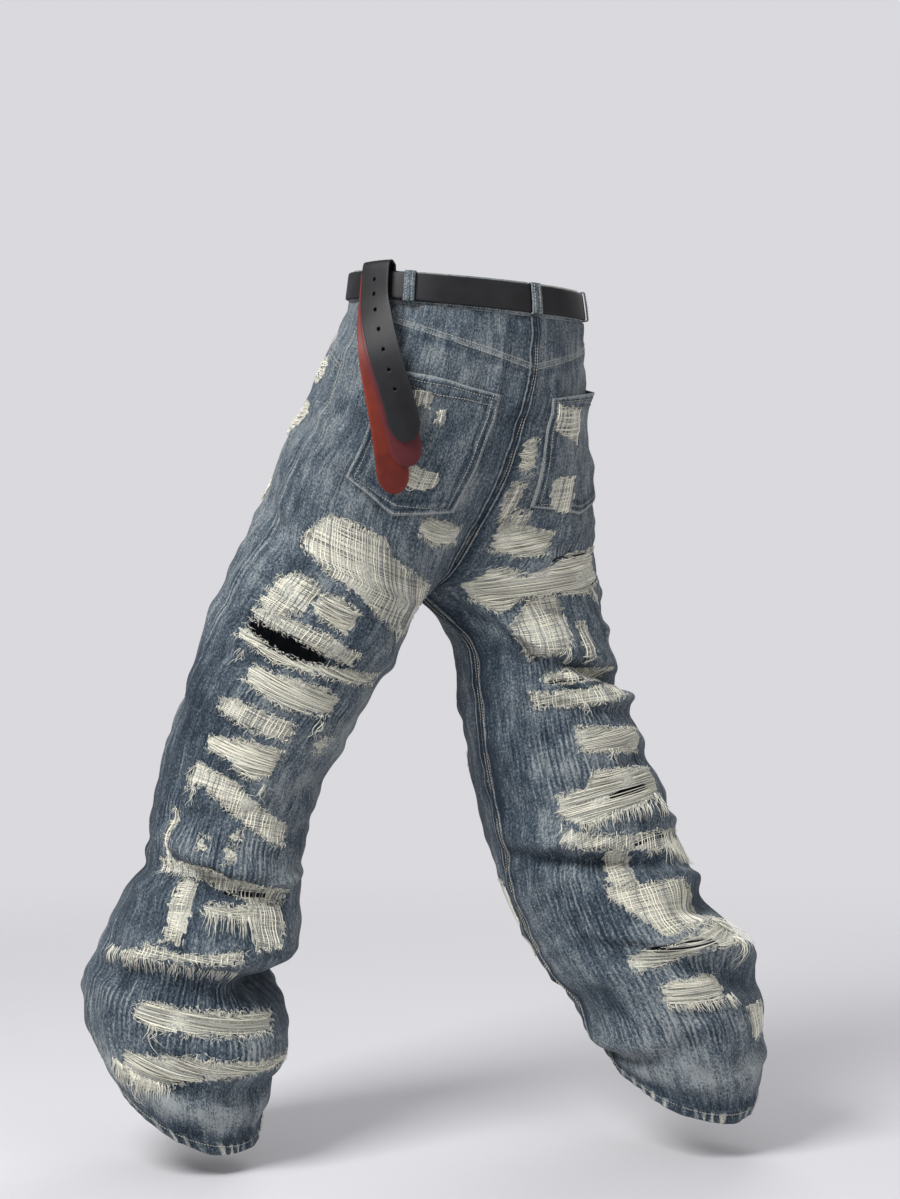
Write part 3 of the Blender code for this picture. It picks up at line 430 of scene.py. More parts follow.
def round_the_seam(leg, share, station, fine):
    """The same as cloth_point, but a share past 1 goes on over the seam."""
    inside = np.clip(share, -1, 1)
    past = np.where(share > 1, 2 - share, -2 - share)
    over = np.where(station < CROTCH, past, -past)
    point = cloth_point(leg, inside, station, fine)
    across = np.where((station < CROTCH)[..., None], cloth_point(other_leg(leg), past, station, fine),
                      cloth_point(leg, np.clip(over, -1, 1), station, fine))
    return np.where((np.abs(share) > 1)[..., None], across, point)


def outward(leg, share, station, fine=True):
    """The direction square to the cloth, out of the leg. Both sides of a seam get the same."""
    share, station = np.broadcast_arrays(np.asarray(share, float), np.asarray(station, float))
    after = round_the_seam(leg, share + SHARE_STEP, station, fine)
    around = after - round_the_seam(leg, share - SHARE_STEP, station, fine)
    below = cloth_point(leg, share, station + STATION_STEP, fine)
    down = below - cloth_point(leg, share, station - STATION_STEP, fine)
    square = np.cross(around, down) if leg == "right" else np.cross(down, around)
    return square / np.linalg.norm(square, axis=-1, keepdims=True)


def yoke_edge(share):
    return YOKE_AT_SIDE + (YOKE_AT_CENTRE - YOKE_AT_SIDE) * share


def pocket_mouth(share):
    """The front panel's top edge, scooped out from the waistband to the side seam."""
    depth = np.clip(1 - np.abs(share) / POCKET_MOUTH_SHARE, 0, 1) ** 0.7
    step = np.where(np.abs(share) < POCKET_MOUTH_SHARE + 0.01, POCKET_MOUTH_END, SEAM_GAP)
    return WAISTBAND + step + (POCKET_MOUTH_SIDE - WAISTBAND) * depth


check = cloth_point("left", 0.5, HEM)
print("left hem at the back", check.round(3))

# %% [markdown]
# Thousands of threads will lie on this surface, and working it out afresh for each one
# would take minutes. A map of each leg, a point every 3 mm, is worked out once, and the
# threads read their places off it.

# %% A map of each leg
MAP_COLUMNS = 261
MAP_ROWS = 536
MAPS = {}
for leg in ("left", "right"):
    share = np.linspace(-1, 1, MAP_COLUMNS)[None, :]
    station = np.linspace(0, HEM, MAP_ROWS)[:, None]
    surface = cloth_point(leg, share, station)
    around, down = np.gradient(surface, axis=1), np.gradient(surface, axis=0)
    square = np.cross(around, down) if leg == "right" else np.cross(down, around)
    MAPS[leg] = (surface, square / np.linalg.norm(square, axis=-1, keepdims=True))


def on_map(leg, share, station):
    """A point of the cloth and its outward direction, read between the map's points."""
    share, station = np.broadcast_arrays(np.asarray(share, float), np.asarray(station, float))
    column = np.clip((share + 1) / 2 * (MAP_COLUMNS - 1), 0, MAP_COLUMNS - 1.001)
    row = np.clip(station / HEM * (MAP_ROWS - 1), 0, MAP_ROWS - 1.001)
    left, top = column.astype(int), row.astype(int)
    u, v = (column - left)[..., None], (row - top)[..., None]
    return [
        (grid[top, left] * (1 - u) + grid[top, left + 1] * u) * (1 - v)
        + (grid[top + 1, left] * (1 - u) + grid[top + 1, left + 1] * u) * v
        for grid in MAPS[leg]
    ]


print("maps", MAPS["left"][0].shape)

# %% [markdown]
# The torn places. On the real jeans the blue warp threads are ground away and the pale
# weft threads stay, as loose bundles or as a thin net. Each place is an outline on the
# leg: its upper and its lower edge, as pairs of share and station.

# %% Torn places
# Columns: leg, how it is torn, upper edge, lower edge
TORN = (
    ("left", "net", ((0.17, 0.358), (0.24, 0.328), (0.30, 0.314), (0.55, 0.316), (0.60, 0.334), (0.83, 0.350)),
     ((0.17, 0.362), (0.30, 0.380), (0.44, 0.388), (0.60, 0.403), (0.74, 0.404), (0.83, 0.352))),
    ("left", "loose", ((0.69, 0.288), (0.74, 0.281), (0.92, 0.283)), ((0.69, 0.297), (0.80, 0.309), (0.92, 0.300))),
    ("left", "net", ((0.14, 0.412), (0.20, 0.391), (0.30, 0.397)), ((0.14, 0.440), (0.20, 0.450), (0.30, 0.434))),
    ("left", "loose", ((0.30, 0.402), (0.38, 0.397), (0.47, 0.404)), ((0.30, 0.424), (0.47, 0.434))),
    ("left", "net", ((0.15, 0.448), (0.40, 0.440), (0.56, 0.447)),
     ((0.15, 0.465), (0.22, 0.460), (0.32, 0.4565), (0.42, 0.461), (0.56, 0.461))),
    ("left", "loose", ((0.13, 0.472), (0.22, 0.4795), (0.32, 0.4832), (0.42, 0.4795), (0.50, 0.470), (0.72, 0.457)),
     ((0.13, 0.487), (0.32, 0.4955), (0.50, 0.485), (0.72, 0.470))),
    ("left", "loose", ((0.25, 0.508), (0.36, 0.504), (0.52, 0.496), (0.61, 0.502)),
     ((0.25, 0.528), (0.42, 0.537), (0.61, 0.524))),
    ("left", "net", ((0.21, 0.560), (0.26, 0.550), (0.52, 0.549)), ((0.21, 0.570), (0.39, 0.576), (0.52, 0.570))),
    ("left", "loose", ((0.23, 0.600), (0.38, 0.588), (0.52, 0.583)),
     ((0.23, 0.614), (0.31, 0.615), (0.44, 0.631), (0.52, 0.618))),
    ("left", "net", ((0.20, 0.650), (0.23, 0.632), (0.40, 0.641), (0.53, 0.667), (0.67, 0.688)),
     ((0.20, 0.668), (0.28, 0.658), (0.46, 0.690), (0.60, 0.716), (0.67, 0.716))),
    ("left", "loose", ((0.31, 0.714), (0.36, 0.714)), ((0.31, 0.727), (0.36, 0.727))),
    ("left", "loose", ((0.43, 0.705), (0.48, 0.702)), ((0.43, 0.716), (0.48, 0.714))),
    ("left", "loose", ((0.42, 0.722), (0.47, 0.720)), ((0.42, 0.738), (0.47, 0.734))),
    ("left", "loose", ((0.62, 0.552), (0.68, 0.550)), ((0.62, 0.570), (0.68, 0.574))),
    ("left", "net", ((0.16, 0.694), (0.20, 0.692)), ((0.16, 0.760), (0.20, 0.760))),
    ("left", "net", ((0.12, 0.752), (0.35, 0.752), (0.55, 0.772), (0.72, 0.776)),
     ((0.12, 0.768), (0.35, 0.772), (0.55, 0.798), (0.72, 0.792))),
    ("left", "net", ((0.25, 0.772), (0.33, 0.774)), ((0.25, 0.842), (0.33, 0.840))),
    ("left", "net", ((0.54, 0.797), (0.70, 0.794)), ((0.54, 0.834), (0.66, 0.828), (0.70, 0.812))),
    ("left", "net", ((0.13, 0.866), (0.22, 0.848), (0.33, 0.850), (0.52, 0.836)),
     ((0.13, 0.880), (0.22, 0.862), (0.33, 0.860), (0.52, 0.847))),
    ("left", "loose", ((0.21, 0.921), (0.25, 0.914), (0.70, 0.912)),
     ((0.21, 0.936), (0.28, 0.941), (0.67, 0.929), (0.70, 0.924))),
    ("left", "loose", ((0.36, 0.800), (0.60, 0.800)), ((0.36, 0.812), (0.60, 0.814))),
    ("left", "loose", ((0.17, 0.985), (0.20, 0.976), (0.42, 0.956), (0.78, 0.951)),
     ((0.17, 1.006), (0.24, 1.012), (0.40, 0.982), (0.62, 0.962), (0.78, 0.957))),
    ("left", "loose", ((-0.32, 0.140), (-0.26, 0.128), (-0.16, 0.124)), ((-0.32, 0.150), (-0.22, 0.163), (-0.16, 0.156))),
    ("left", "loose", ((-0.46, 0.206), (-0.36, 0.192), (-0.16, 0.198)),
     ((-0.46, 0.222), (-0.30, 0.240), (-0.20, 0.234), (-0.16, 0.214))),
    ("left", "net", ((-0.66, 0.312), (-0.56, 0.298), (-0.40, 0.292), (-0.26, 0.302)),
     ((-0.66, 0.326), (-0.50, 0.338), (-0.36, 0.330), (-0.26, 0.322))),
    ("left", "loose", ((-0.80, 0.440), (-0.66, 0.424), (-0.44, 0.428), (-0.28, 0.416)),
     ((-0.80, 0.446), (-0.62, 0.462), (-0.40, 0.452), (-0.28, 0.440))),
    ("left", "loose", ((-0.76, 0.552), (-0.64, 0.536), (-0.40, 0.542), (-0.24, 0.530)),
     ((-0.76, 0.566), (-0.56, 0.590), (-0.36, 0.578), (-0.24, 0.566))),
    ("left", "net", ((-0.66, 0.652), (-0.48, 0.638), (-0.24, 0.650)), ((-0.66, 0.664), (-0.44, 0.686), (-0.24, 0.668))),
    ("left", "loose", ((-0.72, 0.770), (-0.56, 0.758), (-0.32, 0.748)), ((-0.72, 0.776), (-0.50, 0.784), (-0.32, 0.766))),
    ("left", "net", ((-0.62, 0.892), (-0.44, 0.882), (-0.22, 0.896)), ((-0.62, 0.904), (-0.40, 0.922), (-0.22, 0.908))),
    ("right", "loose", ((0.87, 0.186), (0.95, 0.180)), ((0.87, 0.226), (0.95, 0.216))),
    ("right", "net", ((0.88, 0.240), (0.95, 0.232)), ((0.88, 0.296), (0.95, 0.262))),
    ("right", "net", ((0.80, 0.276), (0.88, 0.270)), ((0.80, 0.298), (0.88, 0.296))),
    ("right", "loose", ((0.66, 0.312), (0.80, 0.296), (0.91, 0.283)), ((0.66, 0.342), (0.78, 0.338), (0.91, 0.318))),
    ("right", "loose", ((0.34, 0.350), (0.56, 0.350), (0.66, 0.371), (0.86, 0.347)),
     ((0.34, 0.392), (0.40, 0.408), (0.67, 0.398), (0.80, 0.412), (0.86, 0.390))),
    ("right", "net", ((0.57, 0.400), (0.66, 0.400), (0.79, 0.430)), ((0.57, 0.455), (0.62, 0.466), (0.76, 0.478), (0.79, 0.445))),
    ("right", "net", ((0.47, 0.440), (0.53, 0.440)), ((0.47, 0.474), (0.53, 0.484))),
    ("right", "net", ((0.34, 0.500), (0.45, 0.494), (0.72, 0.502)), ((0.34, 0.518), (0.50, 0.519), (0.72, 0.516))),
    ("right", "net", ((0.36, 0.528), (0.56, 0.530), (0.77, 0.521)), ((0.36, 0.545), (0.56, 0.552), (0.77, 0.541))),
    ("right", "loose", ((0.32, 0.600), (0.50, 0.588), (0.63, 0.577)), ((0.32, 0.630), (0.50, 0.622), (0.63, 0.610))),
    ("right", "loose", ((0.30, 0.654), (0.60, 0.640), (0.64, 0.660), (0.75, 0.656)),
     ((0.30, 0.690), (0.48, 0.697), (0.65, 0.702), (0.75, 0.680))),
    ("right", "net", ((0.20, 0.738), (0.50, 0.728), (0.64, 0.710), (0.75, 0.690)),
     ((0.20, 0.752), (0.41, 0.754), (0.66, 0.722), (0.75, 0.704))),
    ("right", "net", ((0.53, 0.738), (0.57, 0.735)), ((0.50, 0.788), (0.60, 0.786))),
    ("right", "net", ((0.20, 0.820), (0.32, 0.792), (0.50, 0.786), (0.62, 0.778)),
     ((0.20, 0.840), (0.50, 0.842), (0.56, 0.815), (0.62, 0.790))),
    ("right", "loose", ((0.20, 0.846), (0.45, 0.847), (0.65, 0.864)), ((0.20, 0.863), (0.45, 0.866), (0.65, 0.881))),
    ("right", "loose", ((0.38, 0.891), (0.54, 0.893), (0.60, 0.900)), ((0.38, 0.920), (0.60, 0.922))),
    ("right", "net", ((0.20, 0.938), (0.33, 0.933)), ((0.20, 0.968), (0.30, 0.972))),
    ("right", "net", ((-0.95, 0.742), (-0.87, 0.736)), ((-0.95, 0.850), (-0.87, 0.860))),
    ("right", "loose", ((-0.64, 0.334), (-0.50, 0.322), (-0.26, 0.316)), ((-0.64, 0.342), (-0.46, 0.356), (-0.26, 0.346))),
    ("right", "net", ((-0.72, 0.444), (-0.58, 0.428), (-0.32, 0.422)), ((-0.72, 0.452), (-0.50, 0.472), (-0.32, 0.448))),
    ("right", "loose", ((-0.78, 0.584), (-0.60, 0.564), (-0.42, 0.570), (-0.24, 0.558)),
     ((-0.78, 0.594), (-0.54, 0.620), (-0.38, 0.606), (-0.24, 0.600))),
    ("right", "loose", ((-0.66, 0.698), (-0.50, 0.682), (-0.30, 0.688), (-0.16, 0.680)),
     ((-0.66, 0.704), (-0.44, 0.724), (-0.26, 0.712), (-0.16, 0.702))),
    ("right", "net", ((-0.68, 0.820), (-0.50, 0.806), (-0.28, 0.814)), ((-0.68, 0.832), (-0.46, 0.850), (-0.28, 0.836))),
    ("right", "loose", ((-0.60, 0.938), (-0.44, 0.926), (-0.20, 0.932)), ((-0.60, 0.944), (-0.38, 0.960), (-0.20, 0.944))),
)

# Cut right through. Columns: station, share from and to, and how wide the rip gapes
RIPS = {
    "back_left": ((0.470, 0.15, 0.47, 0.026), (0.786, 0.43, 0.64, 0.008), (0.985, 0.21, 0.50, 0.0015)),
    "back_right": (
        (0.356, 0.43, 0.64, 0.007),
        (0.512, 0.50, 0.71, 0.006),
        (0.676, 0.36, 0.57, 0.008),
        (0.738, 0.29, 0.50, 0.007),
        (0.856, 0.36, 0.57, 0.013),
    ),
    "front_left": ((0.215, -0.40, -0.20, 0.008), (0.560, -0.70, -0.30, 0.014), (0.660, -0.60, -0.30, 0.010)),
    "front_right": ((0.335, -0.60, -0.30, 0.008), (0.590, -0.70, -0.30, 0.016), (0.700, -0.60, -0.20, 0.010)),
}
print("torn places", len(TORN), "and rips", sum(len(rows) for rows in RIPS.values()))

# %% [markdown]
# Nothing torn has a straight edge. A few waves with fixed, unlike lengths stand in for
# chance, so that every run gives the same ragged outline.


# %% Unevenness
def waves(seed, count, shortest, longest):
    """Directions and phases of a set of waves over the cloth, in metres."""
    chance = np.random.default_rng(seed)
    length = chance.uniform(shortest, longest, count)
    turn = chance.uniform(0, math.pi, count)
    phase = chance.uniform(0, 2 * math.pi, count)
    return 2 * math.pi / length, turn, phase


def uneven(share, station, recipe):
    """A value of about -1 to 1 that wanders over the cloth."""
    across = share * PANEL_WIDTH
    total = np.zeros_like(across + station)
    for rate, turn, phase in zip(*recipe):
        total += np.sin(rate * (across * math.cos(turn) + station * math.sin(turn)) + phase)
    return total / math.sqrt(len(recipe[0]) / 2)


RAGGED = waves(3, 9, 0.006, 0.016)
SOFT_WRINKLES = waves(7, 12, 0.028, 0.075)
PATCHY = waves(11, 10, 0.05, 0.16)
CORNER_CUT = 0.0030
CORNER_REACH = 0.0040


def depth_in_torn(row, share, station, ragged):
    """How far a place lies inside the edge of a torn place, in metres."""
    upper, lower = (np.array(line) for line in row[2:4])
    start = min(upper[0, 0], lower[0, 0])
    end = max(upper[-1, 0], lower[-1, 0])
    up_down = np.minimum(station - np.interp(share, *upper.T), np.interp(share, *lower.T) - station)
    sideways = np.minimum(share - start, end - share) * PANEL_WIDTH
    cut_corner = CORNER_CUT * np.exp(-np.abs(up_down - sideways) / CORNER_REACH)
    return np.minimum(up_down, sideways) - cut_corner + ragged * uneven(share, station, RAGGED)


def over_rip(leg, share, station, room=0.0):
    """Whether a place lies over one of the leg's rips, or within some room above or below."""
    found = np.zeros(np.broadcast(share, station).shape, bool)
    for half in ("back", "front"):
        for middle, start, end, gape in RIPS[f"{half}_{leg}"]:
            found |= (np.abs(station - middle) < gape / 2 + room) & (share > start) & (share < end)
    return found


def torn_mask(leg, share, station):
    mask = np.zeros_like(share + station)
    for row in TORN:
        if row[0] == leg:
            mask = np.maximum(mask, smooth(-0.001, 0.002, depth_in_torn(row, share, station, 0.0018)))
    return mask


# %% [markdown]
# The denim. Its blue warp fades where it is rubbed: the shells carry a value of wear and
# painted shade at every point, and the shader turns that into colour, with a fine
# salt-and-pepper grain, raised vertical ribs between the torn places, and a twill bump.


# %% Node helpers
def new_material(name):
    material = bpy.data.materials.new(name)
    material.use_nodes = True
    tree = material.node_tree
    return material, tree, tree.nodes["Principled BSDF"]


def add_node(tree, kind, links=None, **settings):
    """A node with its settings, and with values or other sockets put on its inputs."""
    node = tree.nodes.new(kind)
    for name, value in settings.items():
        setattr(node, name, value)
    for key, value in (links or {}).items():
        socket = node.inputs[key]
        if isinstance(value, bpy.types.NodeSocket):
            tree.links.new(value, socket)
        else:
            socket.default_value = value
    return node


def formula(tree, operation, first, second=0.0, third=0.0, clamp=False):
    node = add_node(tree, "ShaderNodeMath", {0: first, 1: second, 2: third}, operation=operation, use_clamp=clamp)
    return node.outputs[0]


def blend(tree, share, first, second, mode="MIX"):
    node = add_node(tree, "ShaderNodeMix", {0: share, 6: first, 7: second}, data_type="RGBA", blend_type=mode)
    return node.outputs[2]


def noise(tree, vector, scale, detail=3.0, roughness=0.55):
    node = add_node(tree, "ShaderNodeTexNoise", {"Vector": vector, "Scale": scale, "Detail": detail,
                                                 "Roughness": roughness})
    return node.outputs["Fac"]


def ramp(tree, value, low, high):
    """0 below low and 1 above high."""
    node = add_node(tree, "ShaderNodeMapRange", {0: value, 1: low, 2: high}, interpolation_type="SMOOTHSTEP")
    return node.outputs[0]


def attribute(tree, name):
    return add_node(tree, "ShaderNodeAttribute", attribute_name=name).outputs["Fac"]


def stretched(tree, across, along):
    """The cloth's own coordinates, in metres, squeezed across and along the leg."""
    uv = add_node(tree, "ShaderNodeUVMap", uv_map="UVMap").outputs[0]
    return add_node(tree, "ShaderNodeMapping", {"Vector": uv, "Scale": (across, along, 1)}).outputs[0]


# %% Denim finish
INDIGO = (0.013, 0.022, 0.036, 1)
MID_BLUE = (0.072, 0.099, 0.126, 1)
WASHED = (0.300, 0.328, 0.334, 1)
# Ground under the torn places: GROUND_SHADE is painted shade for the shadow between the loose threads
GROUND_SHADE = (0.270, 0.280, 0.265, 1)
GROUND_COTTON = (0.640, 0.630, 0.530, 1)
INSIDE_PALE = (0.190, 0.212, 0.238, 1)
RIB_PITCH = 0.0062
TWILL_PITCH = 0.0009
RIGHT_LEG_UV = 1.7


def scatter(tree, value, amount):
    """A noise value turned into a difference around nothing."""
    return formula(tree, "MULTIPLY_ADD", value, amount, -amount / 2)


def seam_lines(tree, across):
    """Fine pale and dark lines beside the inseam and the side seam, from the cloth's own coordinates."""
    past_left = formula(tree, "GREATER_THAN", across, RIGHT_LEG_UV / 2)
    own = formula(tree, "ABSOLUTE", formula(tree, "MULTIPLY_ADD", past_left, -RIGHT_LEG_UV, across))
    from_inner = formula(tree, "SUBTRACT", PANEL_WIDTH, own)
    total = 0.0
    # Columns: distance from a seam, where the line lies, half its width, how much paler
    for distance, place, half, amount in ((from_inner, 0.0062, 0.0014, 0.75), (from_inner, 0.0095, 0.0026, -0.30),
                                          (from_inner, 0.0028, 0.0036, -0.70), (own, 0.0002, 0.0016, -0.50),
                                          (own, 0.0042, 0.0020, 0.30)):
        off = formula(tree, "ABSOLUTE", formula(tree, "SUBTRACT", distance, place))
        total = formula(tree, "MULTIPLY_ADD", ramp(tree, off, half, 0.0), amount, total)
    return formula(tree, "MULTIPLY", total, attribute(tree, "seams"))


def make_denim(name, inside):
    material, tree, shader = new_material(name)
    plain = stretched(tree, 1, 1)
    clouds = noise(tree, stretched(tree, 1, 0.6), 13, 4)
    mottle = noise(tree, stretched(tree, 95, 45), 1, 3, 0.6)
    streaks = noise(tree, stretched(tree, 300, 30), 1, 3, 0.65)
    grain = noise(tree, stretched(tree, 460, 300), 1, 3, 0.85)
    # The shells' value of wear, with the painted shade and highlight of the folds, hems and inner legs in it
    level = attribute(tree, "wear_and_shade")
    bands = noise(tree, stretched(tree, 70, 6), 1, 3, 0.6)
    for value, amount in ((clouds, 0.90), (mottle, 0.85), (bands, 0.75), (streaks, 1.15), (grain, 2.8)):
        level = formula(tree, "ADD", level, scatter(tree, value, amount))
    across = add_node(tree, "ShaderNodeSeparateXYZ", {0: plain}).outputs[0]
    level = formula(tree, "ADD", level, seam_lines(tree, across))
    wander = noise(tree, stretched(tree, 26, 6), 1, 2)
    turn = formula(tree, "MULTIPLY_ADD", across, 2 * math.pi / RIB_PITCH, formula(tree, "MULTIPLY", wander, 8.0))
    rib = formula(tree, "MULTIPLY_ADD", formula(tree, "SINE", turn), 0.5, 0.5)
    broken = ramp(tree, noise(tree, stretched(tree, 150, 34), 1, 2), 0.40, 0.58)
    mask = formula(tree, "MULTIPLY", broken, attribute(tree, "ribs"))
    rib = formula(tree, "MULTIPLY", formula(tree, "POWER", rib, 1.6), mask)
    level = formula(tree, "ADD", level, formula(tree, "MULTIPLY_ADD", rib, 0.62, formula(tree, "MULTIPLY", mask, -0.28)))
    deep = blend(tree, ramp(tree, level, -0.10, 0.52), INDIGO, MID_BLUE)
    colour = blend(tree, ramp(tree, level, 0.40, 1.05), deep, WASHED)
    if inside:
        colour = blend(tree, 0.55, colour, INSIDE_PALE)
    # Under the torn places: pale cotton mixed by the grain with painted shade for the shadow between the threads
    fibres = ramp(tree, grain, 0.36, 0.58)
    ground = ramp(tree, formula(tree, "ADD", scatter(tree, grain, 0.8), attribute(tree, "torn")), 0.35, 0.75)
    colour = blend(tree, ground, colour, blend(tree, fibres, GROUND_SHADE, GROUND_COTTON))
    twill = formula(tree, "MULTIPLY", add_node(tree, "ShaderNodeVectorMath", {0: plain, 1: (1, 1, 0)},
                                              operation="DOT_PRODUCT").outputs["Value"], 2 * math.pi / TWILL_PITCH)
    height = formula(tree, "MULTIPLY_ADD", formula(tree, "SINE", twill), 0.10, formula(tree, "MULTIPLY", grain, 1.1))
    height = formula(tree, "MULTIPLY_ADD", rib, 1.1, height)
    height = formula(tree, "MULTIPLY_ADD", streaks, 0.7, height)
    bump = add_node(tree, "ShaderNodeBump", {"Height": height, "Strength": 0.6, "Distance": 0.0012})
    tree.links.new(colour, shader.inputs["Base Color"])
    tree.links.new(bump.outputs[0], shader.inputs["Normal"])
    shader.inputs["Roughness"].default_value = 0.9
    shader.inputs["Specular IOR Level"].default_value = 0.2
    shader.inputs["Sheen Weight"].default_value = 0.08
    shader.inputs["Sheen Roughness"].default_value = 0.5
    return material


DENIM = make_denim("denim", False)
DENIM_INSIDE = make_denim("denim_inside", True)
print("denim made")

# %% [markdown]
# Where the jeans are pale and where they are dark: rubbed on the ridges, the thighs and
# the seat, and dark beside the seams. The ridges also carry a painted highlight, and painted
# shade darkens the troughs, a band just above the hems and the inner sides of the legs.
# The hem itself is roped: its slanting puckers are pale on their crests and dark between them.

# %% Wear over the legs
ROPE_PITCH = 0.0175
SEAM_PUCKER = 0.011
# Pale and dark patches. A negative amount darkens the cloth: on the inner sides of the legs and at the inner left hem
# it is painted shade; elsewhere it only makes the cloth darker.
# Columns: leg, share, station, reach as a share, reach as a station, how much paler
WASH_AND_SHADE = (
    ("left", 0.45, 0.20, 0.40, 0.14, -0.02),
    ("left", 0.75, 0.38, 0.30, 0.16, 0.16),
    ("left", 0.05, 0.30, 0.22, 0.20, 0.14),
    ("left", 0.30, 0.42, 0.25, 0.16, -0.10),
    ("left", 0.15, 0.58, 0.20, 0.12, -0.14),
    ("left", 0.70, 0.60, 0.22, 0.14, 0.16),
    ("left", 0.10, 0.72, 0.20, 0.12, -0.10),
    ("left", 0.45, 0.84, 0.25, 0.05, -0.10),
    ("left", 0.45, 0.92, 0.40, 0.06, 0.05),
    ("left", 0.95, 0.95, 0.22, 0.10, -0.32),
    ("left", 0.38, 1.018, 0.34, 0.020, 0.42),
    ("left", -0.45, 0.30, 0.35, 0.22, 0.20),
    ("left", -0.45, 0.62, 0.35, 0.20, 0.16),
    ("right", 0.55, 0.20, 0.40, 0.12, 0.04),
    ("right", 0.75, 0.33, 0.25, 0.10, 0.04),
    ("right", 0.60, 0.60, 0.35, 0.12, -0.02),
    ("right", 0.94, 0.56, 0.15, 0.18, -0.26),
    ("right", 0.62, 0.62, 0.16, 0.05, 0.14),
    ("right", 0.55, 0.30, 0.40, 0.12, 0.06),
    ("left", 0.60, 0.10, 0.50, 0.05, 0.10),
    ("right", 0.60, 0.10, 0.50, 0.05, 0.18),
    ("right", 0.45, 1.00, 0.50, 0.025, 0.20),
    ("right", 0.50, 0.76, 0.30, 0.04, -0.08),
    ("right", 0.45, 0.95, 0.40, 0.08, 0.10),
    ("right", -0.80, 0.60, 0.25, 0.30, -0.16),
    ("right", -0.45, 0.30, 0.35, 0.22, 0.20),
    ("right", -0.40, 0.62, 0.30, 0.20, 0.14),
    ("left", 0.04, 0.58, 0.14, 0.26, -0.10),
    ("left", 0.30, 0.85, 0.50, 0.16, -0.08),
)
# Columns: leg, share, station, reach as a share, reach as a station
RIBBED = (
    ("left", 0.45, 0.740, 0.22, 0.040),
    ("left", 0.14, 0.720, 0.08, 0.050),
    ("left", 0.40, 0.895, 0.24, 0.022),
    ("left", 0.16, 0.915, 0.10, 0.030),
    ("left", 0.45, 0.948, 0.30, 0.014),
    ("left", 0.28, 0.543, 0.12, 0.012),
    ("left", 0.62, 0.530, 0.10, 0.030),
    ("right", 0.68, 0.610, 0.14, 0.060),
    ("right", 0.45, 0.565, 0.16, 0.014),
    ("right", 0.40, 0.640, 0.16, 0.012),
    ("right", 0.62, 0.345, 0.20, 0.010),
    ("right", 0.66, 0.430, 0.10, 0.020),
    ("right", 0.66, 0.492, 0.12, 0.014),
    ("right", 0.50, 0.880, 0.20, 0.014),
    ("right", 0.55, 0.945, 0.24, 0.022),
    ("right", 0.70, 0.800, 0.14, 0.060),
    ("left", -0.50, 0.610, 0.22, 0.030),
    ("left", -0.48, 0.400, 0.20, 0.030),
    ("right", -0.50, 0.645, 0.22, 0.028),
    ("right", -0.48, 0.500, 0.20, 0.030),
)


def spots(rows, leg, share, station, amounts=True):
    total = np.zeros_like(share + station)
    for row in rows:
        if row[0] != leg:
            continue
        spot = np.exp(-(((share - row[1]) / row[3]) ** 2) - ((station - row[2]) / row[4]) ** 2)
        total += spot * (row[5] if amounts else 1)
    return total


def hem_rope(share, station):
    """The hem's puckers: about 1 on a crest and -1 between two, uneven in length and strength."""
    turn = 2 * math.pi * (share * PANEL_WIDTH + 0.28 * (HEM - station)) / ROPE_PITCH
    wander = 2.2 * uneven(share, 0 * station, PATCHY)
    return np.sin(turn + wander) * (0.75 + 0.35 * uneven(share, 0 * station, SOFT_WRINKLES))


def wear_and_shade_of(leg, share, station):
    """How pale the denim is: 0 is raw indigo, 1 is washed out. Besides the wear it holds a
    painted highlight on the fold ridges and painted shade in the troughs, above the hems and
    on the inner legs.
    """
    angle = ring_point(leg, share, station)[1]
    # Fold relief: a painted highlight on the ridges, over their real rub, and painted shade in the troughs
    relief = sum(row[4] * fold_strength(row, station, angle) for row in (*FOLDS[leg], *CREASES[leg]))
    value = 0.47 + spots(WASH_AND_SHADE, leg, share, station) + 9.0 * np.clip(relief, -0.014, 0.014)
    value += 0.05 * uneven(share, station, PATCHY)
    from_side = np.abs(share) * PANEL_WIDTH
    from_inner = (1 - np.abs(share)) * PANEL_WIDTH
    value += 0.22 * np.exp(-((from_side / 0.003) ** 2)) - 0.14 * np.exp(-(((from_side - 0.009) / 0.005) ** 2))
    value -= 0.20 * np.exp(-(((from_inner - 0.0110) / 0.005) ** 2))
    from_yoke = station - yoke_edge(share)
    value += (share > 0) * 0.24 * np.exp(-(((from_yoke + 0.0055) / 0.004) ** 2))
    value -= (share > 0) * 0.20 * np.exp(-(((from_yoke - 0.004) / 0.004) ** 2))
    to_hem = HEM - station
    # Painted shade in a band just above the hem, and a paler washed band above that
    value += -0.24 * np.exp(-(((to_hem - 0.023) / 0.008) ** 2)) + 0.12 * np.exp(-(((to_hem - 0.052) / 0.018) ** 2))
    value += smooth(HEM_HEIGHT + 0.002, HEM_HEIGHT - 0.002, to_hem) * (-0.22 + 1.05 * smooth(0.0, 0.8, hem_rope(share, station)))
    pucker = np.sin(2 * math.pi * station / SEAM_PUCKER + 3 * uneven(share * 0, station, PATCHY))
    value += 0.14 * pucker * np.exp(-((from_inner / 0.011) ** 2))
    return np.clip(value, -0.2, 1.2)


def ribs_of(leg, share, station):
    return np.clip(1.5 * spots(RIBBED, leg, share, station, amounts=False), 0, 1)


# %% [markdown]
# One function makes every sheet of cloth. It starts as a flat grid, as a cutter starts
# with flat cloth, and its points are then laid onto the leg. The grid opens round each
# rip, the faces between its lips are deleted, and Solidify gives the cloth its thickness.

# %% Sheets of cloth
HEM_LIFT = 0.0011


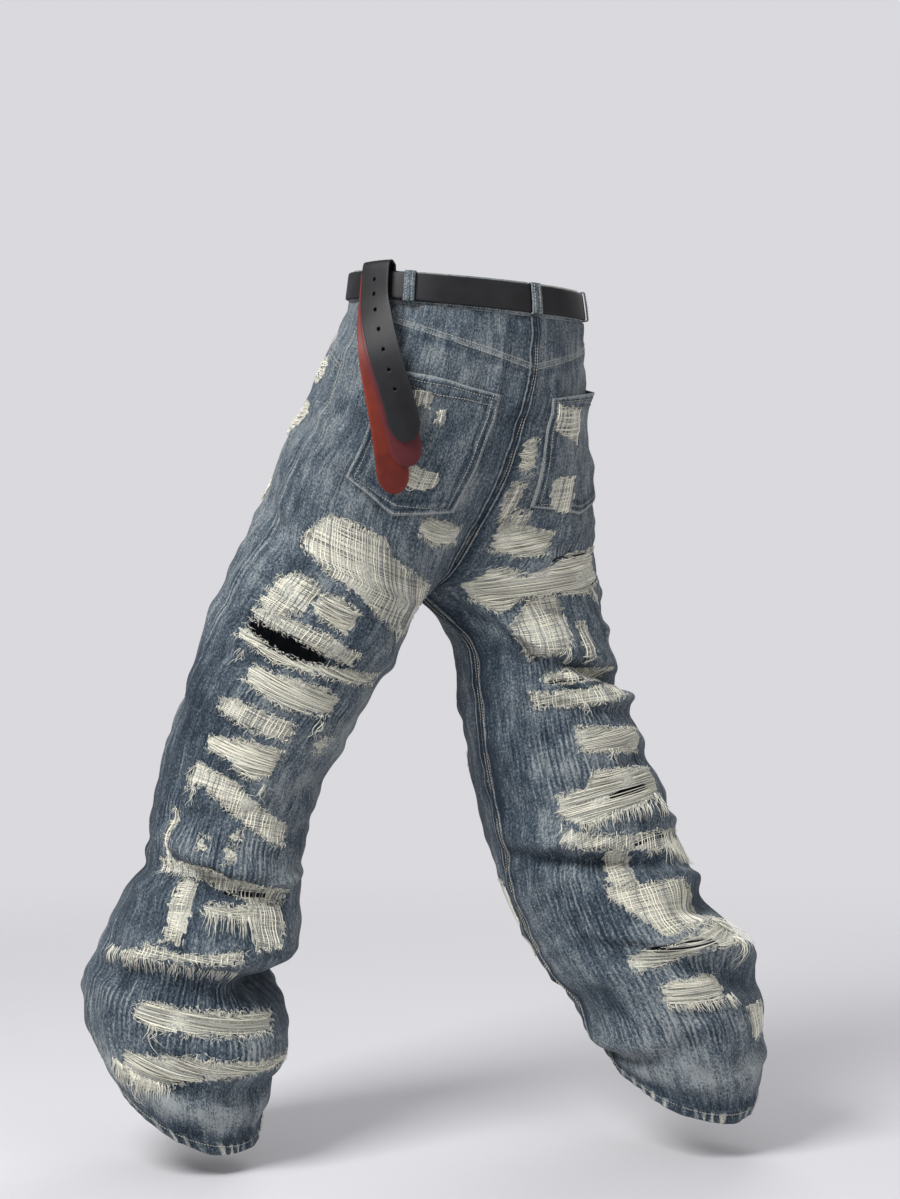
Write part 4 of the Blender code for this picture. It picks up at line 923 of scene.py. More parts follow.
def seam_relief(leg, share, station):
    """What the sewing adds: raised seam allowances with their puckers, and the hem."""
    from_side = np.abs(share) * PANEL_WIDTH
    from_inner = (1 - np.abs(share)) * PANEL_WIDTH
    pucker = 1 + 0.65 * np.sin(2 * math.pi * station / SEAM_PUCKER + 3 * uneven(share * 0, station, PATCHY))
    raised = 0.0008 * np.exp(-((from_side / 0.0035) ** 2)) * pucker
    raised += 0.0014 * smooth(0.0085, 0.0050, from_inner) * (0.70 + 0.30 * pucker)
    in_hem = smooth(HEM - HEM_HEIGHT - 0.001, HEM - HEM_HEIGHT + 0.001, station)
    rope = hem_rope(share, station)
    return raised + in_hem * (HEM_LIFT + 0.0007 * rope) + 0.0011 * uneven(share, station, SOFT_WRINKLES)


def open_rips(name, share, station):
    """Stations moved apart at each rip, and which points lie just above or below a rip."""
    moved = station.copy()
    faces_gone = np.zeros((station.shape[0] - 1, station.shape[1] - 1), bool)
    for middle, start, end, gape in RIPS.get(name, ()):
        along = np.clip((share - start) / (end - start), 0, 1)
        half = gape / 2 * np.sin(math.pi * along) ** 0.6
        reach = 0.020
        away = station - middle
        near = np.abs(away) < reach
        moved = np.where(near, middle + np.sign(away) * (half + np.abs(away) * (1 - half / reach)), moved)
        crossing = (station[:-1] < middle) & (station[1:] >= middle)
        wide = half[:-1] > 0.0008
        faces_gone |= crossing[:, :-1] & crossing[:, 1:] & wide[:, :-1] & wide[:, 1:]
    return moved, faces_gone


def grid_sheet(rows, columns):
    bpy.ops.mesh.primitive_grid_add(x_subdivisions=columns - 1, y_subdivisions=rows - 1, size=1)
    return bpy.context.object


def set_points(obj, points):
    obj.data.vertices.foreach_set("co", np.asarray(points, np.float32).reshape(-1))
    obj.data.update()


def set_value(obj, name, values):
    layer = obj.data.attributes.new(name, "FLOAT", "POINT")
    layer.data.foreach_set("value", np.asarray(values, np.float32).reshape(-1))


def set_uv(obj, across, along):
    corners = np.empty(len(obj.data.loops), np.int32)
    obj.data.loops.foreach_get("vertex_index", corners)
    flat = np.stack([np.asarray(across).reshape(-1), np.asarray(along).reshape(-1)], -1)[corners]
    obj.data.uv_layers[0].name = "UVMap"
    obj.data.uv_layers[0].data.foreach_set("uv", flat.astype(np.float32).reshape(-1))


def face_outwards(obj, normals):
    """Turns the sheet over if its faces look inwards."""
    middle = len(obj.data.polygons) // 2
    face = obj.data.polygons[middle]
    if face.normal.dot(Vector(normals.reshape(-1, 3)[face.vertices[0]])) < 0:
        pick(obj)
        bpy.ops.object.mode_set(mode="EDIT")
        bpy.ops.mesh.select_all(action="SELECT")
        bpy.ops.mesh.flip_normals()
        bpy.ops.object.mode_set(mode="OBJECT")


def cloth_sheet(leg, share, station, lift, thick=CLOTH, gone=None, torn=True, raise_seams=True):
    """A sheet over a grid of shares and stations, lifted off the leg, with its wear and painted shade."""
    obj = grid_sheet(*share.shape)
    mask = torn_mask(leg, share, station) if torn else 0 * share
    relief = seam_relief(leg, share, station) if raise_seams else 0 * share
    normals = outward(leg, share, station)
    points = cloth_point(leg, share, station) + normals * (lift + relief - 0.0011 * mask)[..., None]
    set_points(obj, points)
    set_value(obj, "wear_and_shade", wear_and_shade_of(leg, share, station))
    set_value(obj, "ribs", ribs_of(leg, share, station))
    on_hem = smooth(HEM - HEM_HEIGHT, HEM - HEM_HEIGHT + 0.003, station) if torn else 0 * share
    set_value(obj, "torn", np.maximum(mask, 0.85 * on_hem * smooth(0.40, 0.95, hem_rope(share, station))))
    set_value(obj, "seams", (1.0 if raise_seams else 0.0) + 0 * share)
    set_uv(obj, share * PANEL_WIDTH + (0 if leg == "left" else RIGHT_LEG_UV), station)
    face_outwards(obj, normals)
    if gone is not None and gone.any():
        delete_faces(obj, np.flatnonzero(gone.reshape(-1)))
    obj.data.materials.append(DENIM)
    obj.data.materials.append(DENIM_INSIDE)
    apply_modifier(obj, "SOLIDIFY", thickness=thick, offset=-1, material_offset=1, use_even_offset=False)
    return obj


# %% [markdown]
# The four leg panels, cut as on the real jeans: two backs and two fronts, sewn at the
# side and the inseam, and open at the hem.

# %% Leg panels
BACK_GRID = (366, 106)
FRONT_GRID = (270, 70)
PLAIN_FROM = 0.165
# The cut of each half leg, laid flat: widest width and length in metres, and its area
BACK_CUT = (0.40, 1.03, 0.330)
FRONT_CUT = (0.40, 1.03, 0.305)


def panel_grid(leg, half):
    rows, columns = BACK_GRID if half == "back" else FRONT_GRID
    share = np.linspace(0, 1, columns) if half == "back" else np.linspace(-1, 0, columns)
    inset = np.clip(share, -1 + SEAM_SHARE, 1 - SEAM_SHARE)
    inset = np.maximum(inset, SEAM_SHARE) if half == "back" else np.minimum(inset, -SEAM_SHARE)
    top = yoke_edge(share) if half == "back" else pocket_mouth(share)
    depth = np.linspace(WAISTBAND, HEM, rows)[:, None]
    squeezed = top + (depth - WAISTBAND) * (PLAIN_FROM - top) / (PLAIN_FROM - WAISTBAND)
    station = np.where(depth < PLAIN_FROM, squeezed, depth + 0 * top)
    return inset + 0 * station, station


panels = {}
for leg in ("left", "right"):
    for half, cut in (("back", BACK_CUT), ("front", FRONT_CUT)):
        share, station = panel_grid(leg, half)
        opened, gone = open_rips(f"{half}_{leg}", share, station)
        sheet = cloth_sheet(leg, share, opened, 0 * share, gone=gone)
        name = f"leg_{half}_{leg}"
        finish_piece(sheet, name, None, [f"{half}_{leg}"])
        panels[name] = sheet

# %% [markdown]
# Above the legs: the yokes, the plain cloth behind the front pocket mouths, and the back
# pockets, which lie on the backs and gape a little at the mouth.

# %% Yokes and pocket facings
for leg in ("left", "right"):
    share = np.linspace(SEAM_SHARE, 1 - SEAM_SHARE, 90)[None, :]
    depth = np.linspace(0, 1, 24)[:, None]
    high = WAISTBAND + SEAM_GAP
    station = high + (yoke_edge(share) - SEAM_GAP - high) * depth
    yoke = cloth_sheet(leg, share + 0 * depth, station, 0 * station)
    finish_piece(yoke, f"yoke_cloth_{leg}", None, [f"yoke_{leg}"])
    share = np.linspace(-POCKET_MOUTH_SHARE, -SEAM_SHARE, 60)[None, :]
    station = high + (pocket_mouth(share) - SEAM_GAP - high) * depth
    facing = cloth_sheet(leg, share + 0 * depth, station, 0 * station, torn=False)
    finish_piece(facing, f"pocket_facing_cloth_{leg}", None, [f"pocket_facing_{leg}"])

# %% Back pockets
POCKET_SHARES = (0.2857, 0.8571)
POCKET_TOP = 0.131
POCKET_CORNER = 0.268
POCKET_POINT = 0.290
POCKET_NARROWING = 0.17
POCKET_CLOTH = 0.0015
POCKET_GAPE = 0.012
# The same columns as for the torn places of the legs
POCKET_TORN = (
    ("left", "net", ((0.455, 0.147), (0.560, 0.146)), ((0.455, 0.168), (0.560, 0.167))),
    ("left", "loose", ((0.520, 0.229), (0.700, 0.233)), ((0.520, 0.249), (0.600, 0.257), (0.700, 0.250))),
    ("left", "net", ((0.590, 0.162), (0.640, 0.163)), ((0.590, 0.186), (0.640, 0.184))),
    ("right", "loose", ((0.620, 0.152), (0.820, 0.143)), ((0.620, 0.196), (0.820, 0.174))),
    ("right", "net", ((0.620, 0.236), (0.760, 0.232)), ((0.620, 0.284), (0.700, 0.282), (0.760, 0.262))),
)


def pocket_place(leg, across, down):
    """Share, station and lift of a place on a back pocket: across 0 to 1 from the side."""
    first, last = POCKET_SHARES
    plain = first + (last - first) * across
    top = yoke_edge(0.5) + (POCKET_TOP - yoke_edge(0.5)) + 0.011 * (across - 0.5)
    bottom = POCKET_CORNER + (POCKET_POINT - POCKET_CORNER) * (1 - np.abs(2 * across - 1))
    station = top + (bottom - top) * down
    narrow = POCKET_NARROWING * np.interp(station, (PLAIN_FROM, POCKET_CORNER, CROTCH), (0, 1, 0))
    share = 0.5 + (plain - 0.5) * (1 - narrow * (1 - (2 * plain - 1) ** 2))
    gape = POCKET_GAPE if leg == "right" else POCKET_GAPE / 3
    opening = np.clip(1 - down * 3.6, 0, 1) ** 1.5
    lift = SEAM_GAP + 0.0012 + POCKET_CLOTH + gape * np.sin(math.pi * across) ** 2 * opening
    return share, station, lift


def pocket_lift(leg, share, station):
    """About how far a pocket's face lies off the leg at a share and a station."""
    first, last = POCKET_SHARES
    across = np.clip((share - first) / (last - first), 0, 1)
    down = np.clip((station - POCKET_TOP) / (POCKET_CORNER - POCKET_TOP), 0, 1)
    return pocket_place(leg, across, down)[2] + 0.0004


for leg in ("left", "right"):
    across = np.linspace(0, 1, 72)[None, :]
    down = np.linspace(0, 1, 72)[:, None]
    share, station, lift = pocket_place(leg, across + 0 * down, down + 0 * across)
    edge = np.minimum(np.minimum(across, 1 - across), np.minimum(down, 1 - down))
    lift = lift + 0.0006 * smooth(0.09, 0.06, edge + 0 * lift)
    pocket = cloth_sheet(leg, share, station, lift, thick=POCKET_CLOTH, torn=False, raise_seams=False)
    values = pocket.data.attributes["wear_and_shade"]
    count = share.size
    stored = np.empty(len(pocket.data.vertices), np.float32)
    values.data.foreach_get("value", stored)
    rim = (0.52 * smooth(0.035, 0.0, edge + 0 * share) - 0.42 * np.exp(-(((edge - 0.042) / 0.012) ** 2))
           - 0.26 * np.exp(-(((edge - 0.10) / 0.02) ** 2))).reshape(-1)
    stored[:count] += rim
    values.data.foreach_set("value", stored)
    rubbed = np.zeros(len(pocket.data.vertices), np.float32)
    for row in POCKET_TORN:
        if row[0] == leg:
            inside = smooth(-0.001, 0.002, depth_in_torn(row, share, station, 0.0012)).reshape(-1)
            rubbed[:count] = np.maximum(rubbed[:count], inside)
    pocket.data.attributes["torn"].data.foreach_set("value", rubbed)
    finish_piece(pocket, f"pocket_cloth_{leg}", None, [f"back_pocket_{leg}"])

# %% [markdown]
# The waistband is a doubled strip that runs all round, and the belt and its loops lie
# over it. One measure serves them all: a turn of 0 is the front, 0.25 the left side.

# %% Round the waist
BAND_CLOTH = 0.0032
BELT_TOP = 0.0032
BELT_BOTTOM = 0.0362
BELT_THICK = 0.0034
BELT_OFF = 0.0010
BUTTON_ROOM = 0.0042
HOOK_ROOM = 0.0058
TAIL_TURN = 0.281
LOOP_WIDE = 0.013
LOOP_CLOTH = 0.0018
LOOPS = (("left", -0.62), ("left", 0.32), ("left", 1.0), ("right", 0.42), ("right", -0.62))


def round_waist(turn, station, out):
    """A point round the waist: turn 0 at the front, 0.25 at the left side, 0.5 at the back."""
    turn, station = np.broadcast_arrays(np.asarray(turn, float), np.asarray(station, float))
    left = turn <= 0.5
    share = np.clip(np.where(left, 4 * turn - 1, 3 - 4 * turn), -1, 1)
    is_left = left[..., None]
    point = np.where(is_left, cloth_point("left", share, station, False), cloth_point("right", share, station, False))
    normal = np.where(is_left, outward("left", share, station, False), outward("right", share, station, False))
    return point + normal * np.asarray(out)[..., None], normal


def belt_out(turn):
    """How far the belt's inner face stands off the waistband, with room at two places."""
    at_button = np.exp(-((((turn + 0.5) % 1 - 0.5) / 0.035) ** 2))
    at_hook = np.exp(-(((turn - TAIL_TURN) / 0.070) ** 2))
    return BAND_CLOTH - CLOTH + BELT_OFF + BUTTON_ROOM * at_button + HOOK_ROOM * at_hook


turns = np.linspace(0.0006, 0.9994, 400)[None, :]
down = np.linspace(0, 1, 14)[:, None]
station = (WAISTBAND - SEAM_GAP) * down + 0 * turns
wobble = 0.0003 * np.sin(turns * 620) * np.exp(-(((down - 0.5) / 0.42) ** 8))
edge_round = -0.0007 * (np.exp(-((down / 0.05) ** 2)) + np.exp(-(((1 - down) / 0.05) ** 2)))
points, normals = round_waist(turns + 0 * down, station, BAND_CLOTH - CLOTH + wobble + edge_round)
band = grid_sheet(14, 400)
set_points(band, points)
frayed = np.exp(-(((turns - 0.58) / 0.05) ** 2)) * smooth(0.16, 0.0, down)
set_value(band, "wear_and_shade", np.clip(0.44 + 0.12 * np.sin(turns * 40) * 0.5 + 0.22 * smooth(0.9, 1.0, down)
                                + 0.2 * smooth(0.12, 0.0, down) + 0.3 * frayed, 0, 1))
set_value(band, "ribs", 0 * station)
set_value(band, "torn", 0.5 * frayed)
set_uv(band, turns * 0.86 + 0 * down, station)
face_outwards(band, normals)
band.data.materials.append(DENIM)
band.data.materials.append(DENIM_INSIDE)
apply_modifier(band, "SOLIDIFY", thickness=BAND_CLOTH - 0.0002, offset=-1, material_offset=1)
finish_piece(band, "waistband_cloth", None, ["waistband"])

# %% [markdown]
# Leather looks soft because its grain is uneven and its cut edges are rounded. The three
# colours share one recipe: a fine bump, faint clouds, and a paler rubbed edge.


# %% Leather finish
def make_leather(name, dark, pale, roughness):
    material, tree, shader = new_material(name)
    place = add_node(tree, "ShaderNodeTexCoord").outputs["Object"]
    clouds = noise(tree, place, 26, 4)
    grain = add_node(tree, "ShaderNodeTexVoronoi", {"Vector": place, "Scale": 900}).outputs["Distance"]
    fine = noise(tree, place, 420, 4, 0.7)
    edge = attribute(tree, "edge")
    level = formula(tree, "ADD", formula(tree, "MULTIPLY", ramp(tree, clouds, 0.35, 0.7), 0.6), edge, clamp=True)
    colour = blend(tree, level, dark, pale)
    height = formula(tree, "MULTIPLY_ADD", grain, 0.5, fine)
    bump = add_node(tree, "ShaderNodeBump", {"Height": height, "Strength": 0.28, "Distance": 0.0006})
    rough = formula(tree, "MULTIPLY_ADD", fine, 0.18, roughness - 0.09)
    tree.links.new(colour, shader.inputs["Base Color"])
    tree.links.new(rough, shader.inputs["Roughness"])
    tree.links.new(bump.outputs[0], shader.inputs["Normal"])
    shader.inputs["Specular IOR Level"].default_value = 0.28
    return material


BLACK_LEATHER = make_leather("black_leather", (0.007, 0.007, 0.008, 1), (0.017, 0.018, 0.021, 1), 0.50)
BURGUNDY_LEATHER = make_leather("burgundy_leather", (0.080, 0.011, 0.014, 1), (0.125, 0.023, 0.027, 1), 0.45)
RED_LEATHER = make_leather("red_leather", (0.115, 0.012, 0.006, 1), (0.215, 0.030, 0.014, 1), 0.48)

# %% [markdown]
# The belt itself goes once round. It starts as a torus, which is closed both ways, and
# its rings are laid along the waist with a flat, round-edged section.

# %% Belt strap
AROUND = 256
SECTION_POINTS = 20


def strap_section(count, high, thick):
    """A flat section with round edges: how far up or down and how far out each point is."""
    angle = np.linspace(0, 2 * math.pi, count, endpoint=False)
    up = np.sign(np.sin(angle)) * np.abs(np.sin(angle)) ** 0.30 * high / 2
    out = np.sign(np.cos(angle)) * np.abs(np.cos(angle)) ** 0.45 * thick / 2
    return up, out


bpy.ops.mesh.primitive_torus_add(major_segments=AROUND, minor_segments=SECTION_POINTS,
                                 major_radius=0.14, minor_radius=0.01)
belt = bpy.context.object
up, out = strap_section(SECTION_POINTS, BELT_BOTTOM - BELT_TOP, BELT_THICK)
turns = np.linspace(0, 1, AROUND, endpoint=False)[:, None]
station = (BELT_TOP + BELT_BOTTOM) / 2 - up[None, :] + 0 * turns
points, _ = round_waist(turns + 0 * station, station, belt_out(turns) + BELT_THICK / 2 + out[None, :])
set_points(belt, points)
set_value(belt, "edge", 0.5 * smooth(0.78, 1.0, np.abs(up / np.abs(up).max()))[None, :] + 0 * turns)
pick(belt)
bpy.ops.object.mode_set(mode="EDIT")
bpy.ops.mesh.select_all(action="SELECT")
bpy.ops.mesh.normals_make_consistent(inside=False)
bpy.ops.object.mode_set(mode="OBJECT")
finish_piece(belt, "belt_leather", BLACK_LEATHER, ["belt_strap"])

# %% [markdown]
# The free end of the belt hangs over the left hip in three layers: black with its holes,
# burgundy under it, and red below. Each is a grid bent along its route and thickened.

# %% Hanging belt ends
TAIL_THICK = 0.0022
TAIL_LAYER = 0.0027
TAIL_FAN = 0.0058
TAIL_CLEAR = 0.0080
STRAP_OFF_BELT = 0.0006
TAIL_WIDE = 0.038
TAIL_TIP = 0.72
# Columns: station, share of the middle of the strap
BLACK_ROUTE = ((0.000, 0.130), (0.040, 0.145), (0.082, 0.225), (0.125, 0.330), (0.166, 0.425), (0.206, 0.505))
BURGUNDY_ROUTE = ((0.006, 0.120), (0.050, 0.135), (0.100, 0.240), (0.146, 0.345), (0.190, 0.445), (0.231, 0.545))
RED_ROUTE = ((0.006, 0.100), (0.060, 0.120), (0.110, 0.215), (0.160, 0.310), (0.212, 0.415), (0.265, 0.540))
TAIL_ROWS = 90
TAIL_COLUMNS = 17


def tail_middle(route, layer, hooked):
    keys = np.linspace(0, 1, len(route))
    table = [(key, *row) for key, row in zip(keys, route)]
    along = along_table(table, np.linspace(0, 1, 48))
    stations, shares = along[:, 0], along[:, 1]
    common = np.interp(stations, *zip(*BURGUNDY_ROUTE))
    normal = outward("left", common, np.maximum(stations, 0.02), False)
    on_belt = float(belt_out(TAIL_TURN)) + BELT_THICK + STRAP_OFF_BELT + layer * TAIL_LAYER
    on_cloth = TAIL_CLEAR + layer * TAIL_FAN
    out = on_cloth + (on_belt - on_cloth) * (1 - smooth(0.030, 0.080, stations)) + TAIL_THICK / 2
    middle = cloth_point("left", shares, stations, False) + normal * out[:, None]
    if hooked:
        behind = BAND_CLOTH - CLOTH + STRAP_OFF_BELT + TAIL_THICK / 2
        # Columns: station, above the waistband where it is negative, and how far out
        bend = ((0.026, behind), (0.006, behind), (-0.004, behind + 0.0015), (-0.0085, out[0] / 2 + 0.002),
                (-0.005, out[0] - 0.002))
        root = [
            cloth_point("left", shares[0], max(station, 0.0), False) + normal[0] * across
            + np.array([0, 0, max(-station, 0.0)])
            for station, across in bend
        ]
        middle = np.concatenate([root, middle])
        normal = np.concatenate([normal[:1]] * len(root) + [normal])
    return middle, normal


def evenly(values, count):
    """Points spread evenly along a line of points."""
    steps = np.linalg.norm(np.diff(values[0], axis=0), axis=1)
    run = np.concatenate([[0], np.cumsum(steps)])
    wanted = run[-1] * (1 - (1 - np.linspace(0, 1, count)) ** 1.25)
    return run[-1], wanted, [np.stack([np.interp(wanted, run, column) for column in value.T], -1) for value in values]


def hanging_end(name, node, route, layer, hooked, material):
    length, run, (middle, normal) = evenly(tail_middle(route, layer, hooked), TAIL_ROWS)
    normal /= np.linalg.norm(normal, axis=1, keepdims=True)
    along = np.gradient(middle, axis=0)
    along /= np.linalg.norm(along, axis=1, keepdims=True)
    level = np.cross(np.array([0, 0, 1.0]), normal)
    across = level - (level * along).sum(1, keepdims=True) * along
    across /= np.linalg.norm(across, axis=1, keepdims=True)
    square = np.cross(across, along)
    if (square[-1] * normal[-1]).sum() < 0:
        square = -square
    left = np.clip((length - run) / (TAIL_WIDE * TAIL_TIP), 0.0, 1)
    half = np.maximum(TAIL_WIDE / 2 * np.sqrt(1 - (1 - left) ** 2), 0.0004)
    side = np.linspace(-1, 1, TAIL_COLUMNS)
    cup = 0.0006 * side**2
    face = square[:, None, :] * (TAIL_THICK / 2 - cup)[None, :, None]
    points = middle[:, None, :] + across[:, None, :] * (side[None, :] * half[:, None])[..., None] + face
    strap = grid_sheet(TAIL_ROWS, TAIL_COLUMNS)
    set_points(strap, points)
    set_value(strap, "edge", 0.7 * smooth(0.80, 1.0, np.abs(side))[None, :] + 0 * run[:, None])
    face_outwards(strap, np.repeat(square[:, None, :], TAIL_COLUMNS, axis=1))
    apply_modifier(strap, "SOLIDIFY", thickness=TAIL_THICK, offset=-1)
    apply_modifier(strap, "BEVEL", width=0.0006, segments=2, limit_method="ANGLE", angle_limit=math.radians(50))
    finish_piece(strap, name, material, [node])
    return strap, middle, square, run


hanging_end("end_red", "tail_red", RED_ROUTE, 0, False, RED_LEATHER)
hanging_end("end_burgundy", "tail_burgundy", BURGUNDY_ROUTE, 1, False, BURGUNDY_LEATHER)
black_end, black_middle, black_square, black_run = hanging_end(
    "end_black", "tail_black", BLACK_ROUTE, 2, True, BLACK_LEATHER)

# %% [markdown]
# A punch makes the belt's holes, so here a small cylinder does: it is placed on the
# strap's middle line once for each hole, and a Boolean cuts it out.

# %% Belt holes
HOLE_RADIUS = 0.0021
# How far each hole lies from the tip of the strap, in metres
HOLES_FROM_TIP = (0.062, 0.087, 0.112, 0.137, 0.162, 0.184, 0.202)
for from_tip in HOLES_FROM_TIP:
    index = int(np.argmin(abs(black_run[-1] - from_tip - black_run)))
    turn = Vector(black_square[index]).to_track_quat("Z", "Y").to_euler()
    bpy.ops.mesh.primitive_cylinder_add(vertices=20, radius=HOLE_RADIUS, depth=0.008,
                                        location=black_middle[index], rotation=turn)
    punch = bpy.context.object
    apply_modifier(black_end, "BOOLEAN", object=punch, operation="DIFFERENCE")
    bpy.data.objects.remove(punch, do_unlink=True)
print("belt holes", len(HOLES_FROM_TIP))

# %% [markdown]
# Threads are many and alike, so they are made as one joined mesh from arrays: a thin
# three-sided tube along each line of points, with a tone of its own.


# %% Threads
class Strands:
    """Gathers thin tubes, then makes them one mesh."""

    def __init__(self):
        self.points, self.faces, self.tones, self.count = [], [], [], 0

    def add(self, line, normal, radius, tone, sides=3, taper=None):
        """A tube along a line. The radius may change along it with taper."""
        line, normal = np.asarray(line, float), np.asarray(normal, float)
        along = np.gradient(line, axis=0)
        along /= np.maximum(np.linalg.norm(along, axis=1, keepdims=True), 1e-9)
        across = np.cross(normal, along)
        across /= np.maximum(np.linalg.norm(across, axis=1, keepdims=True), 1e-9)
        up = np.cross(along, across)
        angle = np.linspace(0, 2 * math.pi, sides, endpoint=False) + math.pi / 2
        size = radius * (np.ones(len(line)) if taper is None else np.asarray(taper))
        ring = across[:, None] * np.cos(angle)[None, :, None] + up[:, None] * np.sin(angle)[None, :, None]
        self.points.append((line[:, None] + ring * size[:, None, None]).reshape(-1, 3))
        self.tones.append(np.full(len(line) * sides, tone))
        first = self.count + np.arange(len(line) - 1)[:, None] * sides
        corner = np.arange(sides)[None, :]
        after = (corner + 1) % sides
        quads = np.stack([first + corner, first + after, first + sides + after, first + sides + corner], -1)
        self.faces += quads.reshape(-1, 4).tolist()
        self.faces.append([self.count + value for value in range(sides)][::-1])
        last = self.count + (len(line) - 1) * sides
        self.faces.append([last + value for value in range(sides)])
        self.count += len(line) * sides

    def make(self, name, material, replaced=()):
        mesh = bpy.data.meshes.new(name)
        mesh.from_pydata(np.concatenate(self.points).tolist(), [], self.faces)
        obj = bpy.data.objects.new(name, mesh)
        scene.collection.objects.link(obj)
        set_value(obj, "tone", np.concatenate(self.tones))
        return finish_piece(obj, name, material, replaced)


def make_thread(name, dark, pale):
    material, tree, shader = new_material(name)
    place = add_node(tree, "ShaderNodeTexCoord").outputs["Object"]
    fuzz = noise(tree, place, 900, 3, 0.7)
    level = formula(tree, "MULTIPLY_ADD", fuzz, 0.35, formula(tree, "SUBTRACT", attribute(tree, "tone"), 0.17), clamp=True)
    colour = blend(tree, level, dark, pale)
    tree.links.new(colour, shader.inputs["Base Color"])
    shader.inputs["Roughness"].default_value = 0.95
    shader.inputs["Specular IOR Level"].default_value = 0.15
    shader.inputs["Sheen Weight"].default_value = 0.25
    return material


RAW_COTTON = make_thread("raw_cotton", (0.130, 0.155, 0.190, 1), (0.960, 0.935, 0.800, 1))
SEWING_THREAD = make_thread("sewing_thread", (0.260, 0.240, 0.200, 1), (0.660, 0.625, 0.520, 1))

# %% Loose threads and nets
WEFT_PITCH = 0.00120
WARP_PITCH = 0.0048
WEFT_RADIUS = 0.00060
WARP_RADIUS = 0.00085
THREAD_STEP = 0.0058


def runs_inside(inside):
    """Starts and ends of the stretches where a row of samples is inside."""
    marks = np.diff(np.concatenate([[0], inside.astype(int), [0]]))
    return zip(np.flatnonzero(marks == 1), np.flatnonzero(marks == -1) - 1)


def weft_threads(strands, row, chance, lift=None):
    """The pale threads that run round the leg across a torn place."""
    leg, kind, upper, lower = row
    start = min(upper[0][0], lower[0][0])
    end = max(upper[-1][0], lower[-1][0])
    shares = np.linspace(start - 0.01, end + 0.01, max(int((end - start + 0.02) * PANEL_WIDTH / THREAD_STEP) + 2, 5))
    station = min(value for _, value in upper) - 0.001
    bottom = max(value for _, value in lower) + 0.001
    loose = kind == "loose"
    while station < bottom:
        inside = depth_in_torn(row, shares, station + 0 * shares, 0.0022) > 0
        for first, last in runs_inside(inside):
            if last - first < 2:
                continue
            share = shares[first : last + 1] + chance.uniform(-0.004, 0.004)
            if over_rip(leg, share.mean(), station) and chance.random() < 0.45:
                continue
            middle = np.sin(math.pi * np.linspace(0, 1, len(share)))
            wander = chance.normal(0, 0.0007 if loose else 0.0003) + 0.0005 * np.sin(
                np.linspace(0, chance.uniform(2, 9), len(share)) + chance.uniform(0, 6))
            sag = middle * (chance.uniform(0.0, 0.0035) if loose else 0.0)
            height = -0.0002 + middle * (chance.uniform(0.0, 0.0018) if loose else 0.0003)
            line_station = station + wander + sag
            line, normal = on_map(leg, share, line_station)
            if lift is not None:
                height = height + lift(leg, share, line_station)
            line = line + normal * height[:, None]
            taper = np.full(len(share), 1.0)
            taper[[0, -1]] = 0.55
            strands.add(line, normal, WEFT_RADIUS * chance.uniform(0.85, 1.2), chance.choice([0.45, 0.85, 1.0, 1.15]), 3, taper)
        station += WEFT_PITCH * (chance.uniform(0.70, 1.15) if loose else chance.uniform(0.8, 1.35))


def warp_threads(strands, row, chance, lift=None):
    """The few threads that still run down the leg through a net."""
    leg, _, upper, lower = row
    start = min(upper[0][0], lower[0][0])
    end = max(upper[-1][0], lower[-1][0])
    top = min(value for _, value in upper)
    bottom = max(value for _, value in lower)
    stations = np.linspace(top, bottom, max(int((bottom - top) / 0.0030) + 2, 4))
    share = start
    while share < end:
        inside = depth_in_torn(row, share + 0 * stations, stations, 0.0022) > -0.001
        for first, last in runs_inside(inside):
            if last - first < 1:
                continue
            station = stations[first : last + 1]
            line_share = share + 0.0015 * np.sin(station * 300 + chance.uniform(0, 6))
            line, normal = on_map(leg, line_share, station)
            height = chance.uniform(0.0003, 0.0006) + 0 * station
            if lift is not None:
                height = height + lift(leg, line_share, station)
            line = line + normal * height[:, None]
            strands.add(line, normal, WARP_RADIUS, chance.choice([0.10, 0.55, 0.80, 1.0]), 3)
        share += WARP_PITCH * chance.uniform(0.7, 1.3) / PANEL_WIDTH


def frayed_edge(strands, leg, line, direction, chance, length, pitch=0.0016, off=0.0):
    """Short ends that stand out of a torn edge. The line is pairs of share and station."""
    line = np.array(line, float)
    steps = np.hypot(np.diff(line[:, 0]) * PANEL_WIDTH, np.diff(line[:, 1]))
    run = np.concatenate([[0], np.cumsum(steps)])
    count = max(int(run[-1] / pitch), 2)
    places = chance.uniform(0, run[-1], count)
    share = np.interp(places, run, line[:, 0])
    station = np.interp(places, run, line[:, 1]) + chance.normal(0, 0.0012, count)
    reach = length * chance.uniform(0.35, 1.25, count)
    reach *= np.where(over_rip(leg, share, station, 0.006), 0.4, 1.0)
    drift = chance.normal(0, 0.0030, count) / PANEL_WIDTH
    lean = chance.uniform(0.0004, 0.0028, count)
    steps = np.array([0.0, 0.45, 1.0])
    all_share = share[:, None] + drift[:, None] * steps**1.5
    all_station = station[:, None] + direction * reach[:, None] * steps
    points, normal = on_map(leg, all_share, all_station)
    bend = lean[:, None] * np.sin(steps * 2.2)
    points = points + normal * (off + 0.0003 + bend)[..., None]
    tone = chance.uniform(0.30, 1.15, count)
    for index in range(count):
        strands.add(points[index], normal[index], 0.00045, tone[index], 3, (1.0, 0.8, 0.35))


for leg in ("left", "right"):
    chance = np.random.default_rng(20 if leg == "left" else 21)
    strands = Strands()
    for row in TORN:
        if row[0] == leg:
            weft_threads(strands, row, chance)
            if row[1] == "net":
                warp_threads(strands, row, chance)
    for row in POCKET_TORN:
        if row[0] == leg:
            weft_threads(strands, row, chance, pocket_lift)
            warp_threads(strands, row, chance, pocket_lift)
    strands.make(f"loose_threads_{leg}", RAW_COTTON)

